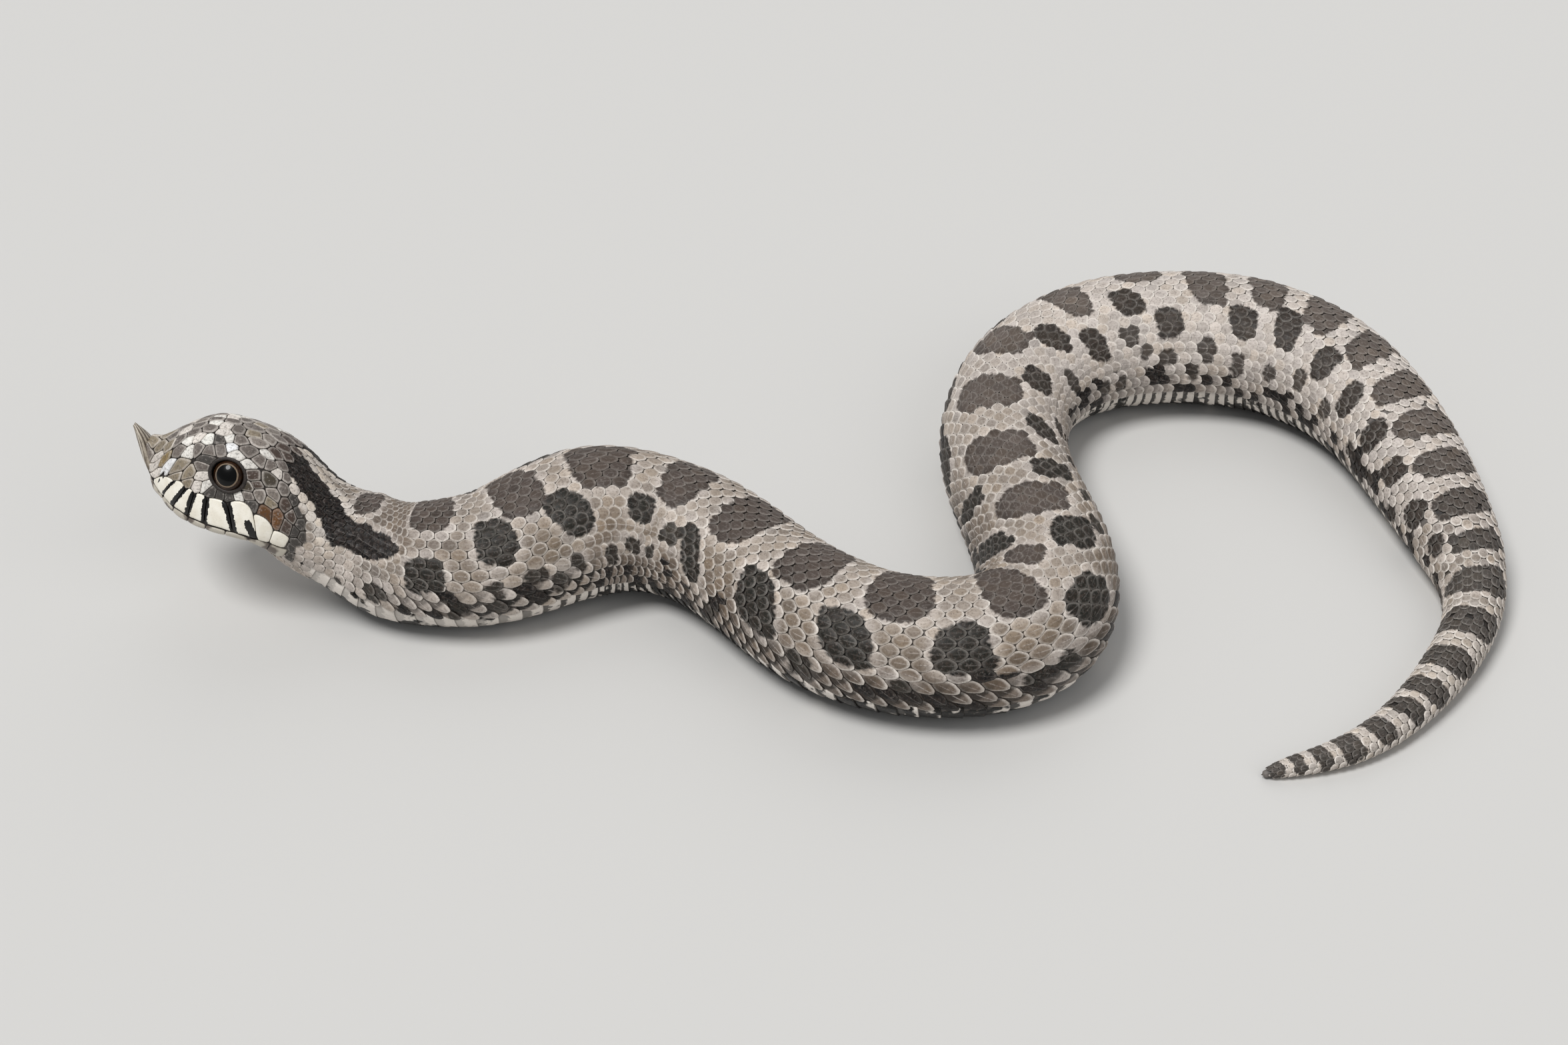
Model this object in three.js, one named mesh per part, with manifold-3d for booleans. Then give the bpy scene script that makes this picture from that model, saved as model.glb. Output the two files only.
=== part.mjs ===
import * as THREE from 'three';
import { mergeVertices } from 'three/addons/utils/BufferGeometryUtils.js';
import Module from 'manifold-3d';

// Hognose snake lying in a loose loop with its head raised.
// Millimetres; +Z up; +X runs from the head's side to the tail's side; -Y is the near side.
// Stations are millimetres of body length behind the front of the upper lip.

// ---------- driving sizes ----------
const TAIL_TIP = 308;
const MOUTH_END = 21.5;
const VENT = 252;
const CUT = 0.3;
const SIDES = 26;
const DEPTH_TO_WIDTH = 0.86;
const RESTING_DEPTH = 0.965;
const HEAD_ROLL = THREE.MathUtils.degToRad(18);
const ROLL_FADES = [24, 46];
const LIP_AXIS = 3.5;
const HEAD_HEIGHT = 19.8;
const HEAD_SLOPE = -0.2056;
const NECK_BENDS = 11;
const NECK_LIES = 37;
const NECK_END_SLOPE = 0.12;
const SNOUT = { front: -0.6, tip: -0.9, high: 3.6 };
const EYE = { station: 11.2, side: 5.3, up: 5.3, radius: 2.4, bulge: 2.0, gap: 0.2 };

// plan of the body's middle line: [station, x, y]
const PATH = [
  [0, -84.6, -4.7], [9, -75.9, -6.5], [18, -67.2, -8.3], [33, -54.8, -11.9],
  [45.5, -42.3, -11.6], [57.5, -31.4, -6.1], [69.5, -19.6, -6.0], [82.5, -9.3, -14.0],
  [96.5, 0.4, -24.0], [110, 13.1, -28.7], [122.5, 25.0, -25.3], [134.5, 28.3, -14.3],
  [147.5, 26.1, -1.3], [160.5, 24.4, 11.8], [174, 28.4, 25.3], [187, 38.8, 33.1],
  [200, 51.8, 34.7], [213, 64.4, 31.3], [225.5, 73.6, 22.1], [238.5, 78.5, 9.9],
  [251.5, 81.7, -2.7], [263, 83.0, -14.6], [273, 79.6, -23.8], [284, 73.2, -32.8],
  [295, 65.0, -40.0], [308, 53.0, -43.9],
];

// half of the body's width along its length: [station, half width]
const GIRTH = [
  [22, 7.0], [27, 7.2], [33, 7.9], [45, 9.2], [59, 10.3], [71, 9.2], [84, 8.8], [98, 9.2],
  [112, 9.2], [125, 9.2], [137, 9.0], [150, 8.7], [163, 8.6], [177, 9.2], [190, 9.8],
  [203, 9.9], [216, 9.4], [229, 8.2], [242, 7.2], [255, 5.7], [262, 4.3], [268, 3.6],
  [277, 3.2], [288, 2.6], [299, 1.9], [306, 1.2], [308, 0.7],
];

// the head's outline at each station, measured from the front of the lip:
// crown top, crown edge (y, z), cheek (y, z), lip (y, z), jaw edge (y, z), chin
const HEAD = [
  [-0.6, 4.95, 1.0, 4.7, 1.75, 4.1, 1.5, 3.0, 0.85, 2.4, 2.2],
  [0.6, 5.3, 1.4, 4.8, 2.2, 2.9, 1.9, -0.1, 1.2, -0.8, -1.0],
  [2.0, 6.4, 2.4, 5.7, 3.4, 3.4, 3.2, -0.6, 2.1, -1.5, -1.7],
  [4.0, 8.1, 3.7, 7.1, 4.9, 3.9, 4.9, -1.1, 3.2, -2.1, -2.3],
  [7.0, 9.8, 4.9, 8.4, 6.1, 4.5, 6.5, -1.5, 4.1, -2.6, -2.8],
  [10.0, 10.1, 5.5, 8.4, 6.4, 4.8, 7.2, -1.5, 4.6, -2.7, -3.0],
  [13.0, 9.9, 5.9, 8.1, 7.2, 4.3, 7.6, -1.3, 4.9, -2.6, -3.0],
  [17.0, 9.0, 6.2, 7.2, 7.8, 3.3, 7.6, -0.7, 5.2, -2.2, -2.7],
  [21.0, 7.8, 6.0, 6.1, 7.4, 2.3, 6.9, -0.6, 5.0, -2.7, -3.5],
];
const NECK_STATION = 27;

// ---------- curves through tables ----------
// smooth curve through (t, y): continuous slope and bend, straight at both ends
function smoothCurve(t, y) {
  const n = t.length;
  const h = t.slice(1).map((v, i) => v - t[i]);
  const m = new Array(n).fill(0);
  const diag = new Array(n).fill(1);
  const rhs = new Array(n).fill(0);
  const upper = new Array(n).fill(0);
  for (let i = 1; i < n - 1; i += 1) {
    const low = h[i - 1];
    const f = low / diag[i - 1];
    diag[i] = 2 * (h[i - 1] + h[i]) - f * upper[i - 1];
    upper[i] = h[i];
    rhs[i] = 6 * ((y[i + 1] - y[i]) / h[i] - (y[i] - y[i - 1]) / h[i - 1]) - f * rhs[i - 1];
  }
  for (let i = n - 2; i > 0; i -= 1) m[i] = (rhs[i] - upper[i] * m[i + 1]) / diag[i];
  return (q) => {
    let k = 0;
    while (k < n - 2 && q > t[k + 1]) k += 1;
    const a = t[k + 1] - q;
    const d = q - t[k];
    return (m[k] * a ** 3 + m[k + 1] * d ** 3) / (6 * h[k])
      + (y[k] / h[k] - m[k] * h[k] / 6) * a + (y[k + 1] / h[k] - m[k + 1] * h[k] / 6) * d;
  };
}

// curve through (t, y) that never swings past its values
function steadyCurve(table) {
  const t = table.map((r) => r[0]);
  const y = table.map((r) => r[1]);
  const h = t.slice(1).map((v, i) => v - t[i]);
  const slope = h.map((v, i) => (y[i + 1] - y[i]) / v);
  const d = y.map(() => 0);
  d[0] = slope[0];
  d[d.length - 1] = slope[slope.length - 1];
  for (let i = 1; i < h.length; i += 1) {
    const w1 = 2 * h[i] + h[i - 1];
    const w2 = h[i] + 2 * h[i - 1];
    if (slope[i - 1] * slope[i] > 0) d[i] = (w1 + w2) / (w1 / slope[i - 1] + w2 / slope[i]);
  }
  return (value) => {
    const q = Math.min(Math.max(value, t[0]), t[t.length - 1]);
    let k = 0;
    while (k < h.length - 1 && q >= t[k + 1]) k += 1;
    const u = (q - t[k]) / h[k];
    return (1 + 2 * u) * (1 - u) ** 2 * y[k] + u * (1 - u) ** 2 * h[k] * d[k]
      + u * u * (3 - 2 * u) * y[k + 1] + u * u * (u - 1) * h[k] * d[k + 1];
  };
}

function ramp(a, knots, values) {
  if (a <= knots[0]) return values[0];
  for (let i = 1; i < knots.length; i += 1) {
    if (a <= knots[i]) {
      const f = (a - knots[i - 1]) / (knots[i] - knots[i - 1]);
      return values[i - 1] + f * (values[i] - values[i - 1]);
    }
  }
  return values[values.length - 1];
}

const halfWidth = steadyCurve(GIRTH);
const halfDepth = (a) => halfWidth(a) * ramp(a, [22, 30, 45], [0.95, 0.93, DEPTH_TO_WIDTH]);
const pathX = smoothCurve(PATH.map((r) => r[0]), PATH.map((r) => r[1]));
const pathY = smoothCurve(PATH.map((r) => r[0]), PATH.map((r) => r[2]));

// height of the middle line: straight through the head, down the neck, then resting
function pathZ(a) {
  if (a < NECK_BENDS) return HEAD_HEIGHT + HEAD_SLOPE * a;
  if (a >= NECK_LIES) return RESTING_DEPTH * halfDepth(a);
  const n = NECK_LIES - NECK_BENDS;
  const t = (a - NECK_BENDS) / n;
  const start = HEAD_HEIGHT + HEAD_SLOPE * NECK_BENDS;
  const end = RESTING_DEPTH * halfDepth(NECK_LIES);
  return (1 + 2 * t) * (1 - t) ** 2 * start + t * (1 - t) ** 2 * n * HEAD_SLOPE
    + t * t * (3 - 2 * t) * end + t * t * (t - 1) * n * NECK_END_SLOPE;
}

const centre = (a) => new THREE.Vector3(pathX(a), pathY(a), pathZ(a));

// directions at a station: back along the body, the snake's left, and up through its back
function directions(a) {
  const back = centre(a + 0.4).sub(centre(a - 0.4)).normalize();
  const worldUp = new THREE.Vector3(0, 0, 1);
  const up = worldUp.clone().addScaledVector(back, -back.dot(worldUp)).normalize();
  const left = back.clone().cross(up);
  const q = Math.min(Math.max((a - ROLL_FADES[0]) / (ROLL_FADES[1] - ROLL_FADES[0]), 0), 1);
  const roll = HEAD_ROLL * (1 - q * q * (3 - 2 * q));
  const up2 = up.clone().multiplyScalar(Math.cos(roll)).addScaledVector(left, -Math.sin(roll));
  const left2 = left.multiplyScalar(Math.cos(roll)).addScaledVector(up, Math.sin(roll));
  return { back, left: left2, up: up2 };
}

// ---------- sections ----------
// half outline of the body: crown top z, crown (y, z), side (y, z), low side, belly edge, belly z
function bodyOutline(a) {
  const w = halfWidth(a);
  const h = halfDepth(a);
  return [h, 0.69 * w, 0.73 * h, w, 0.02 * h, 0.85 * w, -0.6 * h, 0.47 * w, -0.95 * h, -h];
}
const neckOutline = bodyOutline(NECK_STATION);
const headCurves = neckOutline.map((end, i) => {
  const isHeight = [0, 2, 4, 6, 8, 9].includes(i);
  const values = HEAD.map((r) => r[i + 1] - (isHeight ? LIP_AXIS : 0));
  return smoothCurve([...HEAD.map((r) => r[0]), NECK_STATION], [...values, end]);
});
const outline = (a) => (a < NECK_STATION ? headCurves.map((c) => c(a)) : bodyOutline(a));

// ten points round a section: back, left side down to the belly, right side up again
function tenPoints(a) {
  const [top, cy, cz, ky, kz, ly, lz, jy, jz, chin] = outline(a);
  return [[0, top], [cy, cz], [ky, kz], [ly, lz], [jy, jz], [0, chin],
    [-jy, jz], [-ly, lz], [-ky, kz], [-cy, cz]];
}

// bends of the closed smooth curve through ten values, solved by relaxation
function closedBends(v) {
  const n = v.length;
  const m = new Array(n).fill(0);
  for (let pass = 0; pass < 40; pass += 1) {
    for (let i = 0; i < n; i += 1) {
      const before = (i + n - 1) % n;
      const after = (i + 1) % n;
      m[i] = (6 * (v[after] - 2 * v[i] + v[before]) - m[before] - m[after]) / 4;
    }
  }
  return m;
}

// one ring of points round the body at a station; 'grow' swells it, and the floor stops it
function ring(a, sides, grow = 0) {
  const pts = tenPoints(a);
  const ys = pts.map((p) => p[0]);
  const zs = pts.map((p) => p[1]);
  const my = closedBends(ys);
  const mz = closedBends(zs);
  const c = centre(a);
  const { left, up } = directions(a);
  const at = (v, m, k, f) => {
    const k1 = (k + 1) % 10;
    const g = 1 - f;
    return g * v[k] + f * v[k1] + ((g ** 3 - g) * m[k] + (f ** 3 - f) * m[k1]) / 6;
  };
  const out = [];
  for (let j = 0; j < sides; j += 1) {
    const u = (j * 10) / sides;
    const k = Math.floor(u) % 10;
    const f = u - Math.floor(u);
    let y = at(ys, my, k, f);
    let z = at(zs, mz, k, f);
    const r = Math.hypot(y, z) || 1;
    y += (grow * y) / r;
    z += (grow * z) / r;
    const p = c.clone().addScaledVector(left, y).addScaledVector(up, z);
    if (a > NECK_STATION) p.z = Math.max(p.z, 0);
    out.push(p);
  }
  return out;
}

// ---------- solids ----------
function solidFrom(positions, triangles) {
  const g = new THREE.BufferGeometry();
  g.setAttribute('position', new THREE.Float32BufferAttribute(positions, 3));
  g.setIndex(triangles);
  return g;
}

// closed length of body between two stations; end points close the two ends
function length(from, to, step, sides, ends = {}) {
  const count = Math.max(2, Math.ceil((to - from) / step));
  const rings = [];
  for (let i = 0; i <= count; i += 1) rings.push(ring(from + ((to - from) * i) / count, sides, ends.grow));
  const positions = [];
  rings.forEach((r) => r.forEach((p) => positions.push(p.x, p.y, p.z)));
  const triangles = [];
  for (let i = 0; i < count; i += 1) {
    for (let j = 0; j < sides; j += 1) {
      const j1 = (j + 1) % sides;
      const p = i * sides + j;
      const q = i * sides + j1;
      triangles.push(p, q, p + sides, q, q + sides, p + sides);
    }
  }
  const cap = (r, point, first) => {
    const mid = point || r.reduce((s, p) => s.add(p), new THREE.Vector3()).divideScalar(sides);
    const tip = positions.length / 3;
    positions.push(mid.x, mid.y, mid.z);
    const base = first ? 0 : count * sides;
    for (let j = 0; j < sides; j += 1) {
      const j1 = (j + 1) % sides;
      if (first) triangles.push(tip, base + j1, base + j);
      else triangles.push(tip, base + j, base + j1);
    }
  };
  cap(rings[0], ends.front, true);
  cap(rings[count], ends.rear, false);
  return solidFrom(positions, triangles);
}

const wasm = await Module();
wasm.setup();

function toManifold(geometry) {
  const g = geometry.clone();
  g.deleteAttribute('normal');
  g.deleteAttribute('uv');
  const merged = mergeVertices(g, 1e-4);
  return new wasm.Manifold(new wasm.Mesh({
    numProp: 3,
    vertProperties: new Float32Array(merged.attributes.position.array),
    triVerts: new Uint32Array(merged.index.array),
  }));
}

function toGeometry(manifold) {
  const mesh = manifold.getMesh();
  return solidFrom(Array.from(mesh.vertProperties), Array.from(mesh.triVerts));
}

// a point of the head: station, distance to the left, height above the front of the lip
function headPoint(a, y, z) {
  const { back, left, up } = directions(Math.max(a, 0));
  return centre(Math.max(a, 0)).addScaledVector(back, Math.min(a, 0))
    .addScaledVector(left, y).addScaledVector(up, z - LIP_AXIS);
}

// slab through the head that follows the line of the mouth, open at the lips' width
function mouthSlab(top, bottom) {
  const stations = [-4];
  for (let a = 0; a <= 24; a += 1) stations.push(a);
  const lipLine = smoothCurve(HEAD.map((r) => r[0]), HEAD.map((r) => r[7]));
  const positions = [];
  stations.forEach((a) => {
    const lip = lipLine(Math.min(Math.max(a, 0.6), 23));
    [[11, top], [11, bottom], [-11, bottom], [-11, top]].forEach(([y, z]) => {
      const p = headPoint(a, y, Math.abs(z) > 5 ? z : lip + z);
      positions.push(p.x, p.y, p.z);
    });
  });
  const triangles = [];
  for (let i = 0; i < stations.length - 1; i += 1) {
    for (let j = 0; j < 4; j += 1) {
      const p = i * 4 + j;
      const q = i * 4 + ((j + 1) % 4);
      triangles.push(p, q, p + 4, q, q + 4, p + 4);
    }
  }
  const last = (stations.length - 1) * 4;
  triangles.push(0, 2, 1, 0, 3, 2, last, last + 1, last + 2, last, last + 2, last + 3);
  return toManifold(solidFrom(positions, triangles));
}

// eyeball: a lens-shaped ball whose short axis points outward
function eyeBall(side, grow, columns, rows) {
  const g = new THREE.SphereGeometry(1, columns, rows);
  g.scale(EYE.radius + grow, EYE.bulge + grow, EYE.radius + grow);
  const { back, left, up } = directions(EYE.station);
  const out = left.clone().multiplyScalar(side * 0.95).addScaledVector(up, 0.26)
    .addScaledVector(back, -0.17).normalize();
  const y = out.clone();
  const x = back.clone().addScaledVector(y, -back.dot(y)).normalize();
  const z = x.clone().cross(y);
  const at = headPoint(EYE.station, side * EYE.side, EYE.up);
  const m = new THREE.Matrix4().makeBasis(x, y, z).setPosition(at);
  g.applyMatrix4(m);
  return g;
}

// upturned shovel scale on the snout: levels from the lip to the tip,
// each [height, half width, front station at the middle, back station, sweep of the sides]
const ROSTRAL = [
  [-0.35, 1.2, 0.2, 1.3, 0.4],
  [0.9, 1.8, -0.65, 1.4, 0.8],
  [2.2, 2.25, -1.5, 0.9, 1.15],
  [3.4, 2.1, -2.2, -0.5, 1.3],
  [4.3, 1.6, -2.7, -1.5, 1.15],
  [4.9, 1.05, -3.0, -2.2, 0.8],
  [5.3, 0.5, -3.25, -2.7, 0.4],
];
function rostral() {
  const across = 8;
  const loops = ROSTRAL.map(([z, w, front, rear, sweep]) => {
    const pts = [];
    for (let i = 0; i <= across; i += 1) {
      const v = (2 * i) / across - 1;
      pts.push([front + sweep * Math.abs(v) ** 1.6, v * w, z]);
    }
    for (let i = across - 1; i > 0; i -= 1) {
      const v = (2 * i) / across - 1;
      const edge = front + sweep * Math.abs(v) ** 1.6;
      pts.push([edge + (rear - edge) * (1 - v * v), v * w, z + 0.5 * (1 - v * v)]);
    }
    return pts;
  });
  const n = loops[0].length;
  const positions = [];
  loops.forEach((loop) => loop.forEach(([a, y, z]) => {
    const p = headPoint(0, y, z).addScaledVector(directions(0).back, a);
    positions.push(p.x, p.y, p.z);
  }));
  const triangles = [];
  for (let i = 0; i < loops.length - 1; i += 1) {
    for (let j = 0; j < n; j += 1) {
      const j1 = (j + 1) % n;
      const p = i * n + j;
      const q = i * n + j1;
      triangles.push(p, q, p + n, q, q + n, p + n);
    }
  }
  const capLoop = (base, flip) => {
    const mid = new THREE.Vector3();
    for (let j = 0; j < n; j += 1) {
      mid.add(new THREE.Vector3().fromArray(positions, (base + j) * 3));
    }
    mid.divideScalar(n);
    const tip = positions.length / 3;
    positions.push(mid.x, mid.y, mid.z);
    for (let j = 0; j < n; j += 1) {
      const j1 = (j + 1) % n;
      if (flip) triangles.push(tip, base + j1, base + j);
      else triangles.push(tip, base + j, base + j1);
    }
  };
  capLoop(0, true);
  capLoop((loops.length - 1) * n, false);
  return solidFrom(positions, triangles);
}

// ---------- looks ----------
const BACK = '#8f857b';
const material = (color, roughness) => new THREE.MeshStandardMaterial({ color, roughness, metalness: 0 });

const group = new THREE.Group();
group.name = 'hognose_snake';

function add(name, geometry, color, roughness = 0.6) {
  const mesh = new THREE.Mesh(geometry, material(color, roughness));
  mesh.name = name;
  group.add(mesh);
}

// ---------- head ----------
const snoutPoint = (a) => headPoint(0, 0, SNOUT.high).addScaledVector(directions(0).back, a);
const wholeHead = toManifold(length(SNOUT.front, MOUTH_END, 0.95, 32, { front: snoutPoint(SNOUT.tip) }));
const swollenHead = toManifold(length(SNOUT.front, MOUTH_END, 0.95, 32, {
  front: snoutPoint(SNOUT.tip - 0.35),
  grow: 0.25,
}));
const sockets = [1, -1].map((side) => toManifold(eyeBall(side, EYE.gap, 16, 12)));
let upperHead = wholeHead.intersect(mouthSlab(20, CUT / 2));
sockets.forEach((s) => {
  upperHead = upperHead.subtract(s);
});
const lowerJaw = wholeHead.intersect(mouthSlab(-CUT / 2, -20));
const rostralScale = toManifold(rostral()).subtract(swollenHead);

add('head', toGeometry(upperHead), '#8a8078', 0.55);
add('lower_jaw', toGeometry(lowerJaw), '#c9c2b6', 0.55);
add('rostral_scale', toGeometry(rostralScale), '#a79b8b', 0.5);
add('eye_left', eyeBall(1, 0, 20, 14), '#15100d', 0.08);
add('eye_right', eyeBall(-1, 0, 20, 14), '#15100d', 0.08);

// ---------- neck, trunk and tail ----------
const LENGTHS = [
  ['neck', MOUTH_END, 40, '#958b81'],
  ['trunk_1', 40, 70, BACK],
  ['trunk_2', 70, 100, BACK],
  ['trunk_3', 100, 116, BACK],
  ['trunk_4', 116, 134, BACK],
  ['trunk_5', 134, 164, BACK],
  ['trunk_6', 164, 192, BACK],
  ['trunk_7', 192, 222, BACK],
  ['trunk_8', 222, VENT, BACK],
  ['tail_base', VENT, 272, '#857b72'],
  ['tail_tip', 272, TAIL_TIP, '#857b72'],
];
LENGTHS.forEach(([name, from, to, color]) => {
  const start = from + CUT / 2 + (name === 'neck' ? CUT / 2 : 0);
  const isTip = to === TAIL_TIP;
  const end = isTip ? TAIL_TIP - 1 : to - CUT / 2;
  const rear = isTip ? centre(TAIL_TIP) : undefined;
  add(name, length(start, end, 3.2, SIDES, { rear }), color);
});

export default group;
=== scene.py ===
"""Hognose snake lying in a loose loop with its head raised: skin, scales, plates and eyes.

Lengths in the tables are millimetres. A place on the body is given by its station, the length
of body behind the front of the upper lip, and by its round, the distance round from the middle
of the back, which is positive on the snake's left. Reach is the part of the half girth.
"""
import math

import bpy
import numpy as np
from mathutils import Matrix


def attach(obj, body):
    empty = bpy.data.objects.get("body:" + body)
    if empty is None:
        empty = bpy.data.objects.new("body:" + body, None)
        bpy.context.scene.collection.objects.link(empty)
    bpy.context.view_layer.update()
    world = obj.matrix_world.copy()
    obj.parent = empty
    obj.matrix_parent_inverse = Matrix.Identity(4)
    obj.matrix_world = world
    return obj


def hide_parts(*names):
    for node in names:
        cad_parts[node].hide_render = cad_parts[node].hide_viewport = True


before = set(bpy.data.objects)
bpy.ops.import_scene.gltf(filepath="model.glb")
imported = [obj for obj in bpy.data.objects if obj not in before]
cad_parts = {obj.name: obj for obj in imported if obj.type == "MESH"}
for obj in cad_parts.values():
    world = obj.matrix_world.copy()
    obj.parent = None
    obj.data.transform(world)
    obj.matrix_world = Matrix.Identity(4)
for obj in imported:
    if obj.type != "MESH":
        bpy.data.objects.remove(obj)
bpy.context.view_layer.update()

MM = 0.001
RANDOM_SEED = 583

# ---------- the body's driving sizes, as the solids have them ----------
NOSE, TAIL_TIP = -1.05, 308.5
HEAD_FRONT, HEAD_REAR = -0.6, 27.0
TAIL_END = 308.0
VENT = 252.0
DEPTH_RAMP = ([22, 30, 45], [0.95, 0.93, 0.86])
RESTING_DEPTH = 0.965
HEAD_ROLL = math.radians(18)
ROLL_FADES = (24, 46)
LIP_AXIS = 3.5
HEAD_HEIGHT, HEAD_SLOPE = 19.8, -0.2056
NECK_BENDS, NECK_LIES, NECK_END_SLOPE = 11, 37, 0.12
NOSE_CENTRE = 0.1  # height of the nose's middle above the middle line

PATH = np.array([
    [0, -84.6, -4.7], [9, -75.9, -6.5], [18, -67.2, -8.3], [33, -54.8, -11.9],
    [45.5, -42.3, -11.6], [57.5, -31.4, -6.1], [69.5, -19.6, -6.0], [82.5, -9.3, -14.0],
    [96.5, 0.4, -24.0], [110, 13.1, -28.7], [122.5, 25.0, -25.3], [134.5, 28.3, -14.3],
    [147.5, 26.1, -1.3], [160.5, 24.4, 11.8], [174, 28.4, 25.3], [187, 38.8, 33.1],
    [200, 51.8, 34.7], [213, 64.4, 31.3], [225.5, 73.6, 22.1], [238.5, 78.5, 9.9],
    [251.5, 81.7, -2.7], [263, 83.0, -14.6], [273, 79.6, -23.8], [284, 73.2, -32.8],
    [295, 65.0, -40.0], [308, 53.0, -43.9]])
GIRTH = np.array([
    [22, 7.0], [27, 7.2], [33, 7.9], [45, 9.2], [59, 10.3], [71, 9.2], [84, 8.8], [98, 9.2],
    [112, 9.2], [125, 9.2], [137, 9.0], [150, 8.7], [163, 8.6], [177, 9.2], [190, 9.8],
    [203, 9.9], [216, 9.4], [229, 8.2], [242, 7.2], [255, 5.7], [262, 4.3], [268, 3.6],
    [277, 3.2], [288, 2.6], [299, 1.9], [306, 1.2], [308, 0.7]])
# reach at which the sides end and the belly's plates begin, by station
BELLY_EDGE = [(16, 0.62), (24, 0.62), (40, 0.60), (70, 0.585), (240, 0.58), (262, 0.62), (308, 0.68)]
# station, crown top, crown edge (y, z), cheek (y, z), lip (y, z), jaw edge (y, z), chin
HEAD = np.array([
    [-0.6, 4.95, 1.0, 4.7, 1.75, 4.1, 1.5, 3.0, 0.85, 2.4, 2.2],
    [0.6, 5.3, 1.4, 4.8, 2.2, 2.9, 1.9, -0.1, 1.2, -0.8, -1.0],
    [2.0, 6.4, 2.4, 5.7, 3.4, 3.4, 3.2, -0.6, 2.1, -1.5, -1.7],
    [4.0, 8.1, 3.7, 7.1, 4.9, 3.9, 4.9, -1.1, 3.2, -2.1, -2.3],
    [7.0, 9.8, 4.9, 8.4, 6.1, 4.5, 6.5, -1.5, 4.1, -2.6, -2.8],
    [10.0, 10.1, 5.5, 8.4, 6.4, 4.8, 7.2, -1.5, 4.6, -2.7, -3.0],
    [13.0, 9.9, 5.9, 8.1, 7.2, 4.3, 7.6, -1.3, 4.9, -2.6, -3.0],
    [17.0, 9.0, 6.2, 7.2, 7.8, 3.3, 7.6, -0.7, 5.2, -2.2, -2.7],
    [21.0, 7.8, 6.0, 6.1, 7.4, 2.3, 6.9, -0.6, 5.0, -2.7, -3.5]])
HEIGHT_COLUMNS = (0, 2, 4, 6, 8, 9)


# ---------- curves ----------
def smooth_curve(knots, values, q):
    """Natural cubic spline: its bend changes evenly between knots and is nought at both ends."""
    knots = np.asarray(knots, float)
    values = np.asarray(values, float)
    n = len(knots)
    h = np.diff(knots)
    matrix = np.eye(n)
    rhs = np.zeros(values.shape)
    for i in range(1, n - 1):
        matrix[i, i - 1:i + 2] = (h[i - 1], 2 * (h[i - 1] + h[i]), h[i])
        rhs[i] = 6 * ((values[i + 1] - values[i]) / h[i] - (values[i] - values[i - 1]) / h[i - 1])
    bend = np.linalg.solve(matrix, rhs)
    k = np.clip(np.searchsorted(knots, q) - 1, 0, n - 2)
    after = (knots[k + 1] - q).reshape((-1,) + (1,) * (values.ndim - 1))
    before = (q - knots[k]).reshape(after.shape)
    gap = h[k].reshape(after.shape)
    cubic = (bend[k] * after ** 3 + bend[k + 1] * before ** 3) / (6 * gap)
    return (cubic + (values[k] / gap - bend[k] * gap / 6) * after
            + (values[k + 1] / gap - bend[k + 1] * gap / 6) * before)


def steady_curve(table, q):
    """Cubic through a table's values that never swings past them: each knot's slope is the
    weighted harmonic mean of the slopes beside it, or nought where they differ in sign."""
    knots, values = np.asarray(table, float).T
    h = np.diff(knots)
    rise = np.diff(values) / h
    slope = np.zeros(len(knots))
    slope[0], slope[-1] = rise[0], rise[-1]
    same = rise[:-1] * rise[1:] > 0
    w1 = (2 * h[1:] + h[:-1])[same]
    w2 = (h[1:] + 2 * h[:-1])[same]
    slope[1:-1][same] = (w1 + w2) / (w1 / rise[:-1][same] + w2 / rise[1:][same])
    q = np.clip(q, knots[0], knots[-1])
    k = np.clip(np.searchsorted(knots, q, side="right") - 1, 0, len(h) - 1)
    t = (q - knots[k]) / h[k]
    return hermite(t, values[k], values[k + 1], h[k] * slope[k], h[k] * slope[k + 1])


def fade(x, low, high):
    """0 below low and 1 above high, with level ends: 3t^2 - 2t^3 between."""
    t = np.clip((x - low) / (high - low), 0, 1)
    return t * t * (3 - 2 * t)


def by_station(table, a):
    """Straight lines between a table's pairs of station and value."""
    return np.interp(a, *np.array(table).T)


def hermite(t, start, end, start_slope, end_slope):
    """Cubic from start to end as t goes from 0 to 1, with a slope given at each end."""
    return ((1 + 2 * t) * (1 - t) ** 2 * start + t * (1 - t) ** 2 * start_slope
            + t * t * (3 - 2 * t) * end + t * t * (t - 1) * end_slope)


# ---------- the body's surface ----------
def half_width(a):
    """Half the body's width, in mm."""
    return steady_curve(GIRTH, a)


def half_depth(a):
    """Half the body's depth: its half width times a ratio by station."""
    return half_width(a) * np.interp(a, *DEPTH_RAMP)


def centre(a):
    """Middle line: the plan's curve, and a height that is a straight slope through the head,
    one cubic down the neck, and from there the resting half depth."""
    length = NECK_LIES - NECK_BENDS
    t = np.clip((a - NECK_BENDS) / length, 0, 1)
    start = HEAD_HEIGHT + HEAD_SLOPE * NECK_BENDS
    end = RESTING_DEPTH * half_depth(NECK_LIES)
    neck = hermite(t, start, end, length * HEAD_SLOPE, length * NECK_END_SLOPE)
    resting = RESTING_DEPTH * half_depth(a)
    z = np.where(a < NECK_BENDS, HEAD_HEIGHT + HEAD_SLOPE * a, np.where(a < NECK_LIES, neck, resting))
    return np.column_stack([smooth_curve(PATH[:, 0], PATH[:, 1:], a), z])


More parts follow.
